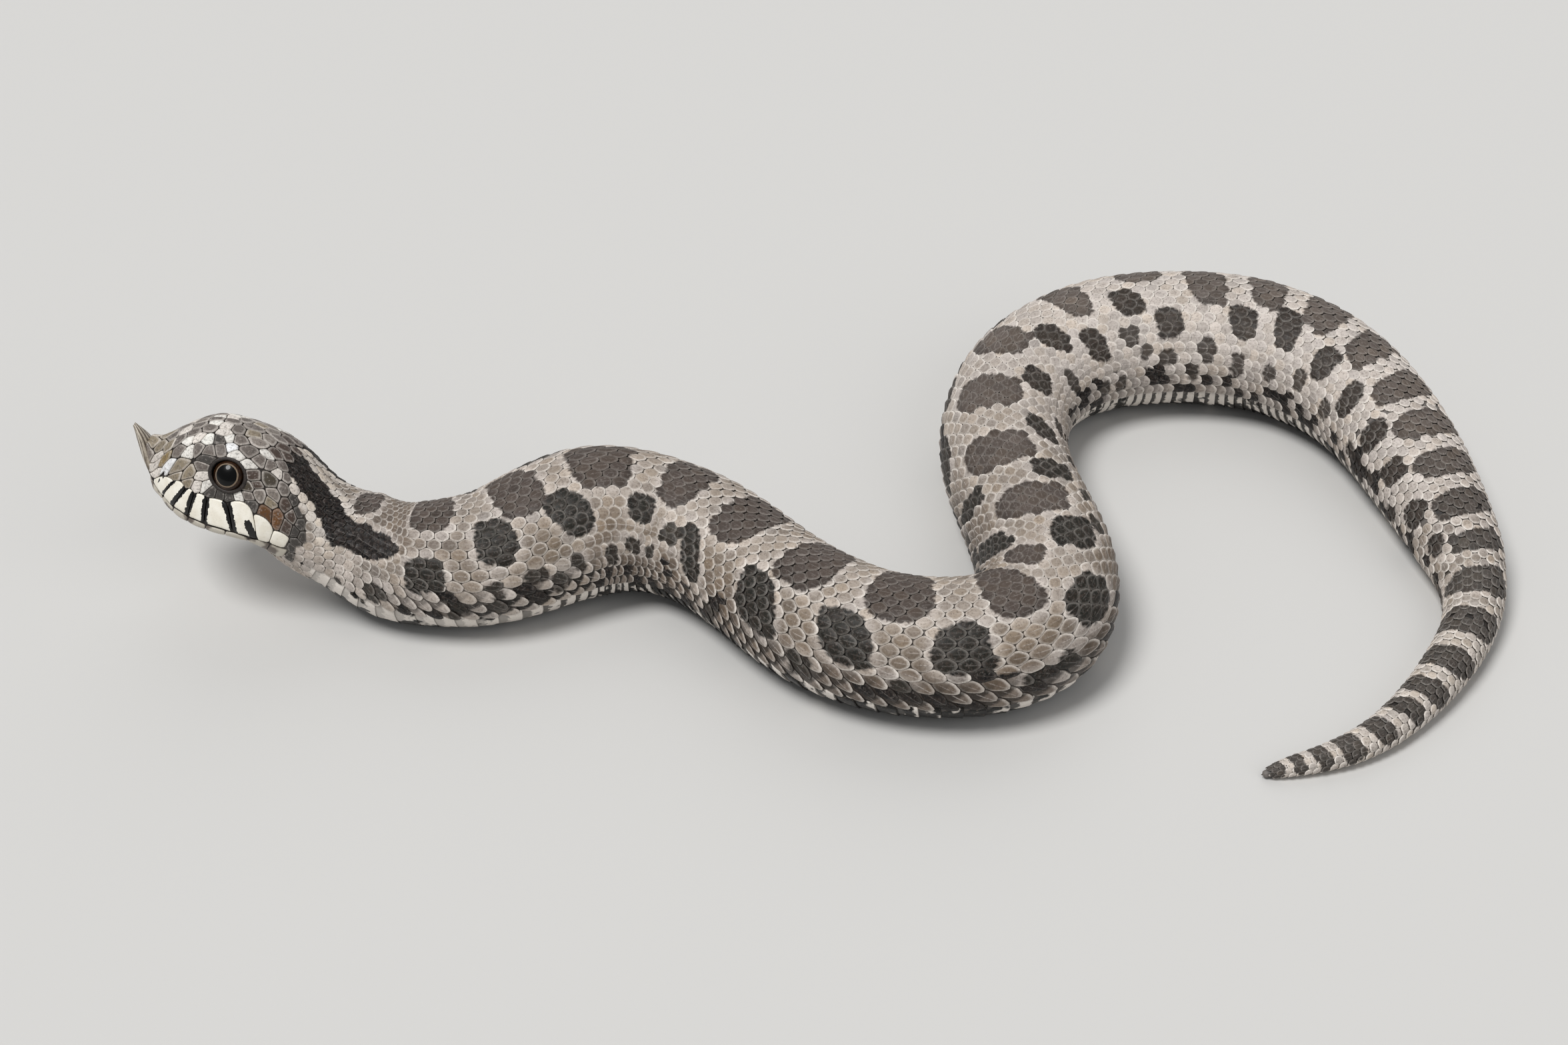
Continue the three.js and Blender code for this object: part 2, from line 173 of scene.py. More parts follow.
def directions(a):
    """Unit vectors back along the body, up through its back, and to its left."""
    back = centre(a + 0.4) - centre(a - 0.4)
    back /= np.linalg.norm(back, axis=1, keepdims=True)
    up = np.array([0.0, 0.0, 1.0]) - back * back[:, 2:]
    up /= np.linalg.norm(up, axis=1, keepdims=True)
    left = np.cross(back, up)
    roll = (HEAD_ROLL * (1 - fade(a, *ROLL_FADES)))[:, None]
    return (back, np.cos(roll) * up - np.sin(roll) * left, np.cos(roll) * left + np.sin(roll) * up)


def body_outline(a):
    """Half outline of the trunk from its half width w and half depth h."""
    w = half_width(a)
    h = half_depth(a)
    return np.column_stack([h, 0.69 * w, 0.73 * h, w, 0.02 * h, 0.85 * w, -0.6 * h,
                            0.47 * w, -0.95 * h, -h])


def section(a):
    """Ten points round each section, in left and up distances from the middle line."""
    neck = body_outline(np.array([HEAD_REAR]))
    values = HEAD[:, 1:].copy()
    values[:, HEIGHT_COLUMNS] -= LIP_AXIS
    knots = np.append(HEAD[:, 0], HEAD_REAR)
    head = smooth_curve(knots, np.vstack([values, neck]), np.clip(a, HEAD_FRONT, HEAD_REAR))
    o = np.where((a < HEAD_REAR)[:, None], head, body_outline(a))
    nought = np.zeros(len(a))
    y = np.column_stack([nought, o[:, 1], o[:, 3], o[:, 5], o[:, 7], nought,
                         -o[:, 7], -o[:, 5], -o[:, 3], -o[:, 1]])
    z = np.column_stack([o[:, 0], o[:, 2], o[:, 4], o[:, 6], o[:, 8], o[:, 9],
                         o[:, 8], o[:, 6], o[:, 4], o[:, 2]])
    return y, z


def ring_weights(u):
    """What each of ten points adds at places u, 0 to 10, of the closed cubic spline."""
    one = np.eye(10)
    before, after = np.roll(one, 1, axis=1), np.roll(one, -1, axis=1)
    bend = np.linalg.solve(4 * one + before + after, 6 * (before + after - 2 * one))
    k = np.floor(u).astype(int)
    f = (u - k)[:, None]
    g = 1 - f
    near, far = k % 10, (k + 1) % 10
    return g * one[near] + f * one[far] + ((g ** 3 - g) * bend[near] + (f ** 3 - f) * bend[far]) / 6


FIELD_COLUMNS = 321
OUTLINE_POINTS = 801  # points worked out round each section before they are spaced evenly
OUTLINE_TOP = OUTLINE_POINTS // 2


def body_field(stations, columns):
    """The outside of the body on a grid whose columns are even steps of girth.

    The first column is the belly's middle line, the middle one the back's, the last the belly's
    again, by way of the snake's right and left. The nose is the first section drawn in to a
    point as sqrt(1 - t^2), and the tail's end likewise.
    """
    inside = np.clip(stations, HEAD_FRONT, TAIL_END)
    y, z = section(inside)
    weights = ring_weights(np.linspace(-5, 5, OUTLINE_POINTS) % 10)
    y, z = y @ weights.T, z @ weights.T
    nose_t = np.clip((HEAD_FRONT - stations) / (HEAD_FRONT - NOSE), 0, 1)
    tail_t = np.clip((stations - TAIL_END) / (TAIL_TIP - TAIL_END), 0, 1)
    shrink = (np.sqrt(1 - nose_t ** 2) * np.sqrt(1 - tail_t ** 2))[:, None]
    middle = np.where(stations < HEAD_FRONT, NOSE_CENTRE, 0.0)[:, None]
    y, z = y * shrink, (z - middle) * shrink + middle
    back, up, left = directions(inside)
    centres = centre(inside) + back * (stations - inside)[:, None]
    points = centres[:, None] + y[..., None] * left[:, None] + z[..., None] * up[:, None]
    on_floor = (stations > HEAD_REAR)[:, None]
    points[..., 2] = np.where(on_floor, np.maximum(points[..., 2], 0), points[..., 2])
    steps = np.linalg.norm(np.diff(points, axis=1), axis=2)
    run = np.concatenate([np.zeros((len(stations), 1)), np.cumsum(steps, axis=1)], axis=1)
    halves = np.column_stack([run[:, OUTLINE_TOP], run[:, -1] - run[:, OUTLINE_TOP]])
    share = np.where(np.arange(OUTLINE_POINTS) <= OUTLINE_TOP,
                     run / np.maximum(halves[:, :1], 1e-9) - 1,
                     (run - halves[:, :1]) / np.maximum(halves[:, 1:], 1e-9))
    want = np.linspace(-1, 1, columns)
    out = np.empty((len(stations), columns, 3))
    for i in range(len(stations)):
        for axis in range(3):
            out[i, :, axis] = np.interp(want, share[i], points[i, :, axis])
    return out, halves.mean(axis=1)


def whole_length(nose_steps, head, body, tail_steps):
    """Stations from the nose to the tail's tip, which crowd towards both rounded ends."""
    nose = 1 - np.cos(np.linspace(0, math.pi / 2, nose_steps))
    tail = np.sin(np.linspace(0, math.pi / 2, tail_steps))
    return np.unique(np.concatenate([NOSE + (HEAD_FRONT - NOSE) * nose, head, body,
                                     TAIL_END + (TAIL_TIP - TAIL_END) * tail]))


STATIONS = whole_length(14, np.linspace(HEAD_FRONT, 40, 240), np.linspace(40, TAIL_END, 900), 8)
FIELD, HALF_GIRTH = body_field(STATIONS, FIELD_COLUMNS)


def field_normals():
    """Outward unit normals: across the girth times along the body."""
    across = np.empty_like(FIELD)
    across[:, 1:-1] = FIELD[:, 2:] - FIELD[:, :-2]
    across[:, 0] = across[:, -1] = FIELD[:, 1] - FIELD[:, -2]
    along = np.gradient(FIELD, axis=0)
    normals = np.cross(across, along)
    normals /= np.maximum(np.linalg.norm(normals, axis=2, keepdims=True), 1e-9)
    back, _, _ = directions(np.array([HEAD_FRONT, TAIL_END]))
    normals[0], normals[-1] = -back[0], back[1]
    return normals


NORMALS = field_normals()
STRETCH = np.linalg.norm(np.gradient(FIELD, axis=0), axis=2) / np.gradient(STATIONS)[:, None]


def sample(grid, a, reach):
    """Value of a field grid at stations a and parts reach of the half girth, -1 to 1."""
    i = np.interp(a, STATIONS, np.arange(len(STATIONS)))
    j = (np.clip(reach, -1, 1) + 1) / 2 * (FIELD_COLUMNS - 1)
    i0 = np.clip(i.astype(int), 0, len(STATIONS) - 2)
    j0 = np.clip(j.astype(int), 0, FIELD_COLUMNS - 2)
    shape = i.shape + (1,) * (grid.ndim - 2)
    fi, fj = (i - i0).reshape(shape), (j - j0).reshape(shape)
    return ((1 - fi) * ((1 - fj) * grid[i0, j0] + fj * grid[i0, j0 + 1])
            + fi * ((1 - fj) * grid[i0 + 1, j0] + fj * grid[i0 + 1, j0 + 1]))


def half_girth(a):
    """Distance round the body from the back's middle line to the belly's."""
    return np.interp(a, STATIONS, HALF_GIRTH)


def wrapped(reach):
    """A reach past the belly's middle line comes up the other side."""
    return (reach + 1) % 2 - 1


def on_body(a, reach, lift):
    """Points lift mm outside the surface, and never under the floor."""
    reach = wrapped(reach)
    points = sample(FIELD, a, reach) + sample(NORMALS, a, reach) * lift[..., None]
    points[..., 2] = np.where(a > HEAD_REAR, np.maximum(points[..., 2], 0), points[..., 2])
    return points


# ---------- markings ----------
def shade(code):
    """Linear colour of a #rrggbb code."""
    c = np.array([int(code[i:i + 2], 16) for i in (1, 3, 5)]) / 255
    return np.where(c <= 0.04045, c / 12.92, ((c + 0.055) / 1.055) ** 2.4)


TONES = {name: shade(code) for name, code in {
    "ground": "#857a6f", "warm": "#877867", "pale": "#cdc4bd", "cream": "#e3dbd2",
    "white": "#f0ece4", "blotch": "#4a413c", "flank": "#21211d", "black": "#0e0c0a",
    "stripe": "#0f0c0a", "band": "#484440", "seam": "#1d1815", "grey": "#6f6761",
    "ash": "#877e76", "brown": "#4d4039", "olive": "#4c453a", "tan": "#8f8370",
    "ochre": "#8e7a55", "orange": "#6b492c", "slate": "#45423f", "throat": "#a9a193"}.items()}

# how far the back's middle line strays to the left of the top, where the body lies twisted
TWIST = [(0, -1.2), (122, -1.2), (138, -2.4), (150, -2.8), (172, -3.0), (186, -3.5), (193, -4.2),
         (200, -2.2), (240, -1.7), (262, -0.8), (290, -0.3), (308, 0)]

# back blotches: station, half length, round, half width
BACK_BLOTCHES = np.array([
    (25.9, 1.7, 0.2, 3.0), (38.9, 2.8, -1.3, 4.7), (50.2, 3.2, -1.5, 5.2), (60.4, 3.4, -1.3, 5.2),
    (70.8, 3, -1.3, 5.3), (81.1, 3.5, -1.3, 5.7), (93.7, 3.8, -1.3, 5.5), (106.1, 4.1, -1.3, 5.4),
    (119.4, 3.7, -1.3, 5.6), (127.7, 2.6, -3.0, 2.8), (140, 3.2, -1.2, 5.0),
    (151.2, 3.4, -2.6, 4.9), (162.8, 3.2, -2.5, 4.8), (172.6, 2.6, -3.6, 4.2),
    (183.3, 2.3, -2.2, 5.0), (193, 2.9, -5.0, 3.2), (201.3, 2.6, -1.7, 5.5), (209, 2.4, -2.6, 5.1),
    (216.6, 2.6, -2.7, 5.3), (224, 2.3, -2.1, 5.0), (231.5, 2.4, -1.5, 5.2),
    (238.4, 2.3, -1.9, 5.5), (245.4, 2.2, -1.3, 5.2), (252, 2, -1.3, 4.8), (257.4, 1.4, -1.0, 4.4),
    (263.2, 2.1, -0.3, 5.0), (270.4, 2.5, 0.0, 5.0), (277.7, 2, -0.3, 4.6), (283.5, 1.5, -0.3, 4.4),
    (287.7, 1.3, 0.0, 3.9), (292.5, 1.4, 0.0, 3.7), (297.3, 1.5, 0.0, 3.5), (301, 1, 0.0, 3.2),
    (304, 0.8, 0.0, 2.8), (306.8, 1, 0.0, 2.4)])

BLOTCH_LEAN = 0.14  # how much the blotches of the rear lean back towards the left
LEANS_FROM = 200

# left flank blotches: station, half length, round, half width, how much they lean back
FLANK_BLOTCHES = np.array([
    (38.4, 2.0, 9.3, 2.4, 0.0), (45.5, 2.1, 5.4, 3.2, 0.0), (54.8, 2.7, 5.9, 3.4, 0.2),
    (66.0, 2.5, 6.0, 2.0, 0.0), (78.5, 2.0, 7.8, 3.3, 0.7), (91.2, 3.0, 7.9, 3.6, 0.45),
    (101.8, 2.8, 7.4, 3.6, 0.3), (112.8, 2.8, 7.4, 3.4, 0.0), (125.8, 2.8, 7.5, 3.1, 0.1),
    (133.6, 2.7, 3.0, 3.2, 0.2), (145.8, 2.1, 3.3, 2.9, 0.0), (155.5, 2.7, 4.5, 2.0, -0.7),
    (166.7, 2.3, 4.0, 2.3, -0.2), (176.3, 2.1, 2.4, 2.8, 0.0), (181.8, 2.1, 6.9, 2.8, 0.2),
    (190.0, 2.2, 2.2, 2.5, 0.2), (195.6, 2.2, 6.3, 2.3, 0.0), (207.0, 2.1, 5.6, 2.7, 0.2),
    (214.2, 2.1, 4.3, 3.0, 0.3), (222.2, 1.8, 5.4, 2.6, 0.1), (229.5, 1.7, 6.0, 2.6, 0.2),
    (237.0, 1.7, 6.1, 2.3, 0.1), (243.8, 1.6, 6.3, 2.1, 0.0), (251.0, 1.7, 6.1, 2.0, 0.1),
    (256.7, 1.4, 4.9, 1.3, 0.0)])

# left lower spots: station, half length, round, half width
LOW_SPOTS = np.array([
    (28.2, 0.6, 15.4, 2.3), (32.7, 1.3, 12.8, 1.4), (41.0, 0.7, 14.2, 1.6), (44.6, 0.8, 13.4, 2.0),
    (48.4, 1.0, 11.7, 1.0), (50.3, 0.9, 13.7, 1.5), (53.2, 1.0, 12.4, 1.3), (60.2, 1.6, 12.9, 1.3),
    (65.4, 2.2, 10.8, 1.0), (70.2, 1.3, 10.4, 0.8), (73.8, 1.9, 7.3, 1.5), (84.2, 1.2, 13.0, 1.1),
    (98.0, 1.3, 13.2, 1.6), (107.6, 1.0, 12.6, 1.2), (118.5, 1.1, 12.4, 1.1),
    (121.4, 0.8, 12.2, 1.7), (136.5, 1.4, 7.1, 1.2), (141.8, 1.4, 7.3, 1.2), (150.4, 1.2, 8.6, 1.0),
    (158.9, 1.9, 8.2, 1.0), (172.4, 1.4, 8.8, 2.2), (181.0, 1.4, 13.4, 1.2),
    (185.2, 1.2, 13.8, 1.2), (188.5, 1.6, 7.7, 1.5), (191.0, 1.4, 10.2, 1.2),
    (195.0, 1.7, 11.2, 1.3), (199.6, 1.2, 13.4, 1.5), (201.6, 1.5, 10.2, 1.6),
    (207.4, 1.5, 11.6, 1.6), (214.6, 1.3, 11.1, 1.4), (220.4, 1.1, 9.5, 1.5),
    (227.1, 1.3, 10.0, 1.4), (235.5, 1.2, 10.5, 1.1), (241.5, 1.2, 10.2, 1.1),
    (247.6, 1.0, 9.8, 1.0), (261.0, 2.0, 7.4, 0.8), (266.0, 2.8, 6.8, 0.8), (271.0, 2.6, 5.9, 0.8)])
RIGHT_SHIFT = 0.9  # how far along the right side's blotches stray
RIGHT_DROP = 1.2  # how much lower they sit
OUTSIDE = -99.0  # depth given to a place that is in no marking

# nape stripe: its upper and its lower edge, as station and round
STRIPE_TOP = [(15.6, 0.0), (18.0, 0.5), (20.5, 0.9), (22.0, 1.5), (23.2, 2.5), (24.4, 3.9),
              (25.6, 4.7), (31.0, 4.7), (33.5, 5.4), (35.6, 6.1)]
STRIPE_FOOT = [(15.6, 4.7), (18.3, 5.2), (19.8, 5.0), (21.0, 5.6), (22.0, 6.2), (24.0, 8.0),
               (25.0, 8.9), (28.5, 9.0), (30.5, 8.7), (32.5, 8.2), (34.2, 7.2), (35.6, 6.3)]

# part of the lowest scales that are dark checks
CHECK_SHARE = [(34, 0), (40, 0.22), (58, 0.22), (66, 0.2), (120, 0.2), (150, 0.26), (180, 0.3),
               (250, 0.28), (264, 0)]
# painted shade on the fronts of the lowest scales, where the scale before overlaps them: how dark, by
# station
PAINTED_FRONT_SHADE = [(30, 0), (44, 1.0), (58, 1.0), (66, 0.8), (130, 0.75), (150, 0.4), (225, 0.35),
             (262, 0)]
# washes over the ground colour, in order: tone, strength, where it comes on down the flank, and
# where along the body it comes on and goes off; a wash that goes off down the flank says so by
# giving the larger part first. The fourth, pale over the top of the back, is painted light: the
# back drawn lighter where the light from above falls on it
TONE_WASHES_AND_PAINTED_LIGHT = [("warm", 0.5, None, (30, 60), (120, 160)), ("pale", 0.8, None, (130, 190), (240, 262)),
          ("pale", 0.45, (0.55, 0.8), None, (46, 62)), ("pale", 0.28, (0.45, 0.2), (34, 44), (125, 150)),
          ("pale", 0.25, (0.75, 0.95), None, None), ("cream", 0.5, None, (255, 280), None)]
# painted shade: brown over the lower flanks, darker down the side that faces away from the light above;
# strength, where it comes on down the flank, and where along the body it comes on and goes off
PAINTED_FLANK_SHADE = [(0.5, (0.35, 0.8), (50, 64), (130, 170)), (0.32, (0.5, 0.85), (165, 190), (235, 255))]
NAPE_SHADE = (0.35, (0.55, 0.35), (22, 27), (38, 46))
TAIL_BANDS = (236, 262)  # where the blotches of the back turn into bands


def inside_blotches(a, v, blotches):
    """How deep a place lies in the nearest blotch, in mm: each is a rounded oblong, the cube
    root of its two cubed part distances."""
    lean = blotches[:, 4] if blotches.shape[1] > 4 else BLOTCH_LEAN * (blotches[:, 0] > LEANS_FROM)
    depth = np.full(a.shape, OUTSIDE)
    for (station, long, around, wide), tilt in zip(blotches[:, :4], lean):
        x = np.abs(a - station - tilt * (v - around)) / long
        y = np.abs(v - around) / wide
        depth = np.maximum(depth, (1 - (x ** 3 + y ** 3) ** (1 / 3)) * min(long, wide))
    return depth


def markings(a, v):
    """Depth inside the back blotches, flank blotches, lower spots and nape stripe at (a, v)."""
    middle = by_station(TWIST, a)
    left = v >= middle
    side = np.where(left, v, 2 * middle - v - RIGHT_DROP * (0.2 + 0.8 * fade(a, 30, 60)))
    shifted = np.where(left, a, a - RIGHT_SHIFT * np.sin(a * 0.37))
    stripe = np.minimum(side - by_station(STRIPE_TOP, a),
                        by_station(STRIPE_FOOT, a) - side)
    stripe = np.where((a > STRIPE_TOP[0][0]) & (a < STRIPE_TOP[-1][0]), stripe, OUTSIDE)
    return (inside_blotches(a, v, BACK_BLOTCHES), inside_blotches(shifted, side, FLANK_BLOTCHES),
            inside_blotches(shifted, side, LOW_SPOTS), stripe)


def blend(low, high, part):
    """A colour the given part of the way from low to high."""
    return low + (high - low) * part[..., None]


def wash(a, down, strength, flank, on, off):
    """How strong a wash is: its fades down the flank and along the body, multiplied."""
    part = np.full(a.shape, float(strength))
    if flank:
        part = part * fade(down, *flank)
    if on:
        part = part * fade(a, *on)
    if off:
        part = part * (1 - fade(a, *off))
    return part


def coat_colour(a, reach, jitter, chance):
    """Colour of the coat, how strongly its scales are rimmed with cream, and how much painted shade
    darkens the front of each scale. The colour holds painted light on the top of the back and
    painted shade down the lower flanks.

    jitter shifts the blotches' borders, in mm, and chance, 0 to 1, picks the dark checks of
    the lowest rows.
    """
    v = reach * half_girth(a)
    back, flank, low, stripe = (depth + jitter for depth in markings(a, v))
    down = np.abs(reach) / by_station(BELLY_EDGE, a)
    colour = np.broadcast_to(TONES["ground"], a.shape + (3,)).copy()
    # tone washes, and painted light on the top of the back
    for tone, *rest in TONE_WASHES_AND_PAINTED_LIGHT:
        colour = blend(colour, TONES[tone], wash(a, down, *rest))
    # painted shade down the lower flanks
    colour = blend(colour, TONES["brown"], sum(wash(a, down, *shade) for shade in PAINTED_FLANK_SHADE))
    colour = blend(colour, TONES["brown"], wash(a, down, *NAPE_SHADE))
    deepest = np.maximum.reduce([back, flank, low, stripe])
    near = fade(deepest, -1.1, -0.2) * (deepest <= 0)
    colour = blend(colour, TONES["pale"], 0.6 * near)
    halo = fade(stripe, -2.1, -1.3) * (stripe <= 0) * (1 - fade(a, 23, 27))
    colour = blend(colour, TONES["cream"], 0.7 * halo)
    share = by_station(CHECK_SHARE, a) * fade(down, 0.58, 0.84)
    check = (down > 0.6) & (chance < share)
    colour = blend(colour, TONES["black"], check)
    dusky = blend(TONES["flank"], TONES["blotch"], 0.4 * fade(a, 125, 185))
    colour = blend(colour, dusky, (low > 0) * 0.92)
    colour = blend(colour, dusky, flank > 0)
    tail = fade(a, *TAIL_BANDS)
    faded = blend(TONES["blotch"], TONES["grey"], 0.12 + 0.4 * fade(a, 115, 195) * (1 - tail))
    colour = blend(colour, blend(faded, TONES["band"], tail), back > 0)
    colour = blend(colour, TONES["stripe"], stripe > 0)
    dark = (deepest > 0) | check
    colour = blend(colour, TONES["black"], 0.35 * dark * (1 - fade(deepest, 0.1, 0.9)))
    rim = np.where(dark, 0.15, 0.62 + 0.18 * fade(a, 125, 160) + 0.2 * near)
    rim = rim * np.where(check | (stripe > 0), 0.25, 1.0)
    # painted shade on the fronts of the lowest scales, where the scale before overlaps them
    base = fade(down, 0.66, 0.85) * by_station(PAINTED_FRONT_SHADE, a) * ~dark
    return colour, rim, base


# ---------- meshes ----------
def mesh_object(name, points, quads, triangles=(), uv_maps=None, values=None):
    """A mesh from points in mm, four- and three-sided faces, and per-point UV maps and values.

    A value of three columns becomes a colour attribute and one of one column a number.
    """
    quads = np.asarray(quads, int).reshape(-1, 4)
    triangles = np.asarray(triangles, int).reshape(-1, 3)
    corners = np.concatenate([quads.ravel(), triangles.ravel()])
    sizes = np.concatenate([np.full(len(quads), 4), np.full(len(triangles), 3)])
    me = bpy.data.meshes.new(name)
    me.vertices.add(len(points))
    me.vertices.foreach_set("co", (np.asarray(points) * MM).astype(np.float32).ravel())
    me.loops.add(len(corners))
    me.loops.foreach_set("vertex_index", corners.astype(np.int32))
    me.polygons.add(len(sizes))
    starts = np.concatenate([[0], np.cumsum(sizes)[:-1]])
    me.polygons.foreach_set("loop_start", starts.astype(np.int32))
    me.polygons.foreach_set("use_smooth", np.ones(len(sizes), bool))
    me.update(calc_edges=True)
    for key, uv in (uv_maps or {}).items():
        layer = me.uv_layers.new(name=key)
        layer.data.foreach_set("uv", np.asarray(uv)[corners].astype(np.float32).ravel())
    for key, value in (values or {}).items():
        value = np.asarray(value)
        if value.ndim == 2:
            rgba = np.column_stack([value, np.ones(len(value))]).astype(np.float32)
            me.attributes.new(key, "FLOAT_COLOR", "POINT").data.foreach_set("color", rgba.ravel())
        else:
            layer = me.attributes.new(key, "FLOAT", "POINT")
            layer.data.foreach_set("value", value.astype(np.float32))
    ob = bpy.data.objects.new(name, me)
    bpy.context.scene.collection.objects.link(ob)
    return ob


def finish_piece(ob, material):
    """Gives a piece its material and fixes it to the one body."""
    ob.data.materials.append(material)
    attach(ob, "root")


def grid_quads(rows, columns, closed=False):
    """Faces of a grid whose points run along its columns first, facing out on the body where
    rows go back and columns go from the right side up over to the left."""
    i, j = np.meshgrid(np.arange(rows - 1), np.arange(columns if closed else columns - 1), indexing="ij")
    k = (j + 1) % columns
    return np.stack([i * columns + j, i * columns + k, (i + 1) * columns + k,
                     (i + 1) * columns + j], axis=-1).reshape(-1, 4)


def end_caps(rows, columns):
    """Triangles that close a tube of rows at both ends, each round a middle point: the two
    points follow those of the rows."""
    j = np.arange(columns)
    k = (j + 1) % columns
    last = (rows - 1) * columns
    first_middle = np.full_like(j, rows * columns)
    return np.vstack([np.column_stack([first_middle, k, j]),
                      np.column_stack([first_middle + 1, last + j, last + k])])


def grid_rim(rows, columns):
    """Points round the border of a grid, in order."""
    index = np.arange(rows * columns).reshape(rows, columns)
    return np.concatenate([index[0, :-1], index[:-1, -1], index[-1, :0:-1], index[:0:-1, 0]])


def repeat_faces(faces, per_shape, shapes):
    """The same faces for each of many shapes of per_shape points."""
    return (faces[None] + np.arange(shapes)[:, None, None] * per_shape).reshape(-1, faces.shape[1])


# ---------- skin ----------
SKIN_DEPTH = 0.3
HEAD_SKIN_DEPTH = 0.24
SKIN_COLUMNS = 132
# round distance of the mouth's line, by station
LIP_LINE = [(0.6, 6.3), (2.0, 9.15), (4.0, 12.43), (7.0, 15.41), (10.0, 16.05), (13.0, 16.05),
            (15.5, 15.65), (17.0, 14.9), (18.6, 13.7), (21.2, 12.2)]
MOUTH_END = 21.2
EYE_STATION, EYE_SIDE, EYE_UP = 11.2, 5.3, 5.3
EYE_RADIUS, EYE_BULGE = 2.38, 2.0
SOCKET_RADIUS, SOCKET_SQUASH = 2.36, 0.87


def head_point(a, y, z):
    """Points of the head: station, distance to the left, height above the front of the lip."""
    a = np.atleast_1d(np.asarray(a, float))
    back, up, left = directions(np.maximum(a, 0))
    return (centre(np.maximum(a, 0)) + back * np.minimum(a, 0)[:, None]
            + left * np.reshape(y, (-1, 1)) + up * np.reshape(np.asarray(z) - LIP_AXIS, (-1, 1)))


def eye_frame(side):
    """Middle of an eye, and its directions back, out and up; side is 1 on the left."""
    back, up, left = (d[0] for d in directions(np.array([EYE_STATION])))
    out = left * side * 0.95 + up * 0.26 - back * 0.17
    out /= np.linalg.norm(out)
    behind = back - out * np.dot(back, out)
    behind /= np.linalg.norm(behind)
    return head_point(EYE_STATION, side * EYE_SIDE, EYE_UP)[0], behind, out, np.cross(out, behind) * side


def skin_depth(a):
    """Depth of the skin under the scales' tips: thinner on the head and towards the tail tip."""
    depth = SKIN_DEPTH + (HEAD_SKIN_DEPTH - SKIN_DEPTH) * (1 - fade(a, 17, 24))
    return np.minimum(depth, 0.3 * half_width(a))


def from_eye(points, side):
    """Distance off an eye's axis, measured so that the socket's oval is a circle, height along
    the axis over the eye's middle, and turn round it."""
    middle, behind, out, up = eye_frame(side)
    offset = points - middle
    x, y = offset @ behind, offset @ up / SOCKET_SQUASH
    return np.hypot(x, y), offset @ out, np.arctan2(y, x)


def press_eyes(points):
    """Sinks the skin into a socket round each eye: the push in fades from all the way to a bowl
    behind the eyeball's front inside the socket's oval to none outside it, where a low lip
    exp(-d^2) rises."""
    for side in (1, -1):
        out = eye_frame(side)[2]
        off_axis, high, _ = from_eye(points, side)
        near = (off_axis < SOCKET_RADIUS + 0.55) & (high > -0.5)
        bowl = 0.9 * EYE_BULGE * np.sqrt(np.clip(1 - (off_axis / SOCKET_RADIUS) ** 2, 0, 1)) - 0.35
        push = (1 - fade(off_axis, SOCKET_RADIUS - 0.15, SOCKET_RADIUS + 0.1)) * np.maximum(high - bowl, 0)
        rim = 0.16 * np.exp(-((off_axis - SOCKET_RADIUS - 0.22) / 0.2) ** 2)
        points = points + (np.where(near, rim - push, 0))[:, None] * out
    return points


def mouth_groove(a, v):
    """Depth of the line of the mouth, a narrow bell across it, fading out at its corner."""
    gap = np.abs(v) - steady_curve(LIP_LINE, a)
    return 0.42 * np.exp(-(gap / 0.14) ** 2) * (1 - fade(a, MOUTH_END - 1.5, MOUTH_END))


def make_skin(material):
    """The whole body's skin: the field drawn in by the scales' depth, with the mouth's line and
    the eyes' sockets pressed in, closed at the nose and the tail's tip."""
    stations = whole_length(8, np.arange(HEAD_FRONT, 24, 0.22), np.arange(24, TAIL_END, 0.62), 6)[1:-1]
    reach = np.linspace(-1, 1, SKIN_COLUMNS, endpoint=False)
    a, f = np.meshgrid(stations, reach, indexing="ij")
    a, f = a.ravel(), f.ravel()
    points = on_body(a, f, -skin_depth(a) - mouth_groove(a, f * half_girth(a)))
    points = press_eyes(points)
    ends = on_body(np.array([NOSE, TAIL_TIP]), np.zeros(2), np.zeros(2))
    points = np.vstack([points, ends])
    rows = len(stations)
    colour, _, _ = coat_colour(a, f, 0.0, np.ones_like(a))
    head = (1 - fade(a, 17.5, 21))[:, None]
    # under the body's scales the skin is the coat's colour at 0.30, partly its own darker colour and partly
    # painted shade beneath the scales
    colour = colour * 0.30 * (1 - head) + TONES["seam"] * head
    belly = fade(np.abs(f), 0.62, 0.7)[:, None] * fade(a, 22, 26)[:, None]
    colour = colour * (1 - belly) + TONES["seam"] * belly
    colour = np.vstack([colour, TONES["seam"], TONES["band"]])
    skin = mesh_object("skin", points, grid_quads(rows, SKIN_COLUMNS, closed=True),
                       end_caps(rows, SKIN_COLUMNS), values={"marking": colour})
    finish_piece(skin, material)
    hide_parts("head", "lower_jaw", "neck", *(f"trunk_{i}" for i in range(1, 9)),
                "tail_base", "tail_tip")


# ---------- body scales ----------
# length of body that one cross row of scales takes, by station
ROW_PITCH = [(14, 1.2), (24, 1.35), (42, 1.6), (64, 2.0), (180, 2.0), (225, 1.8), (252, 1.55),
             (270, 1.4), (298, 1.15), (308, 0.9)]
# stretches of body with a like number of scale rows: from, to, rows
ROW_COUNTS = [(15.8, 235, 23), (235, 253, 19), (253, 261, 15), (261, 270, 11), (270, 288, 9),
              (288, 307.4, 7)]
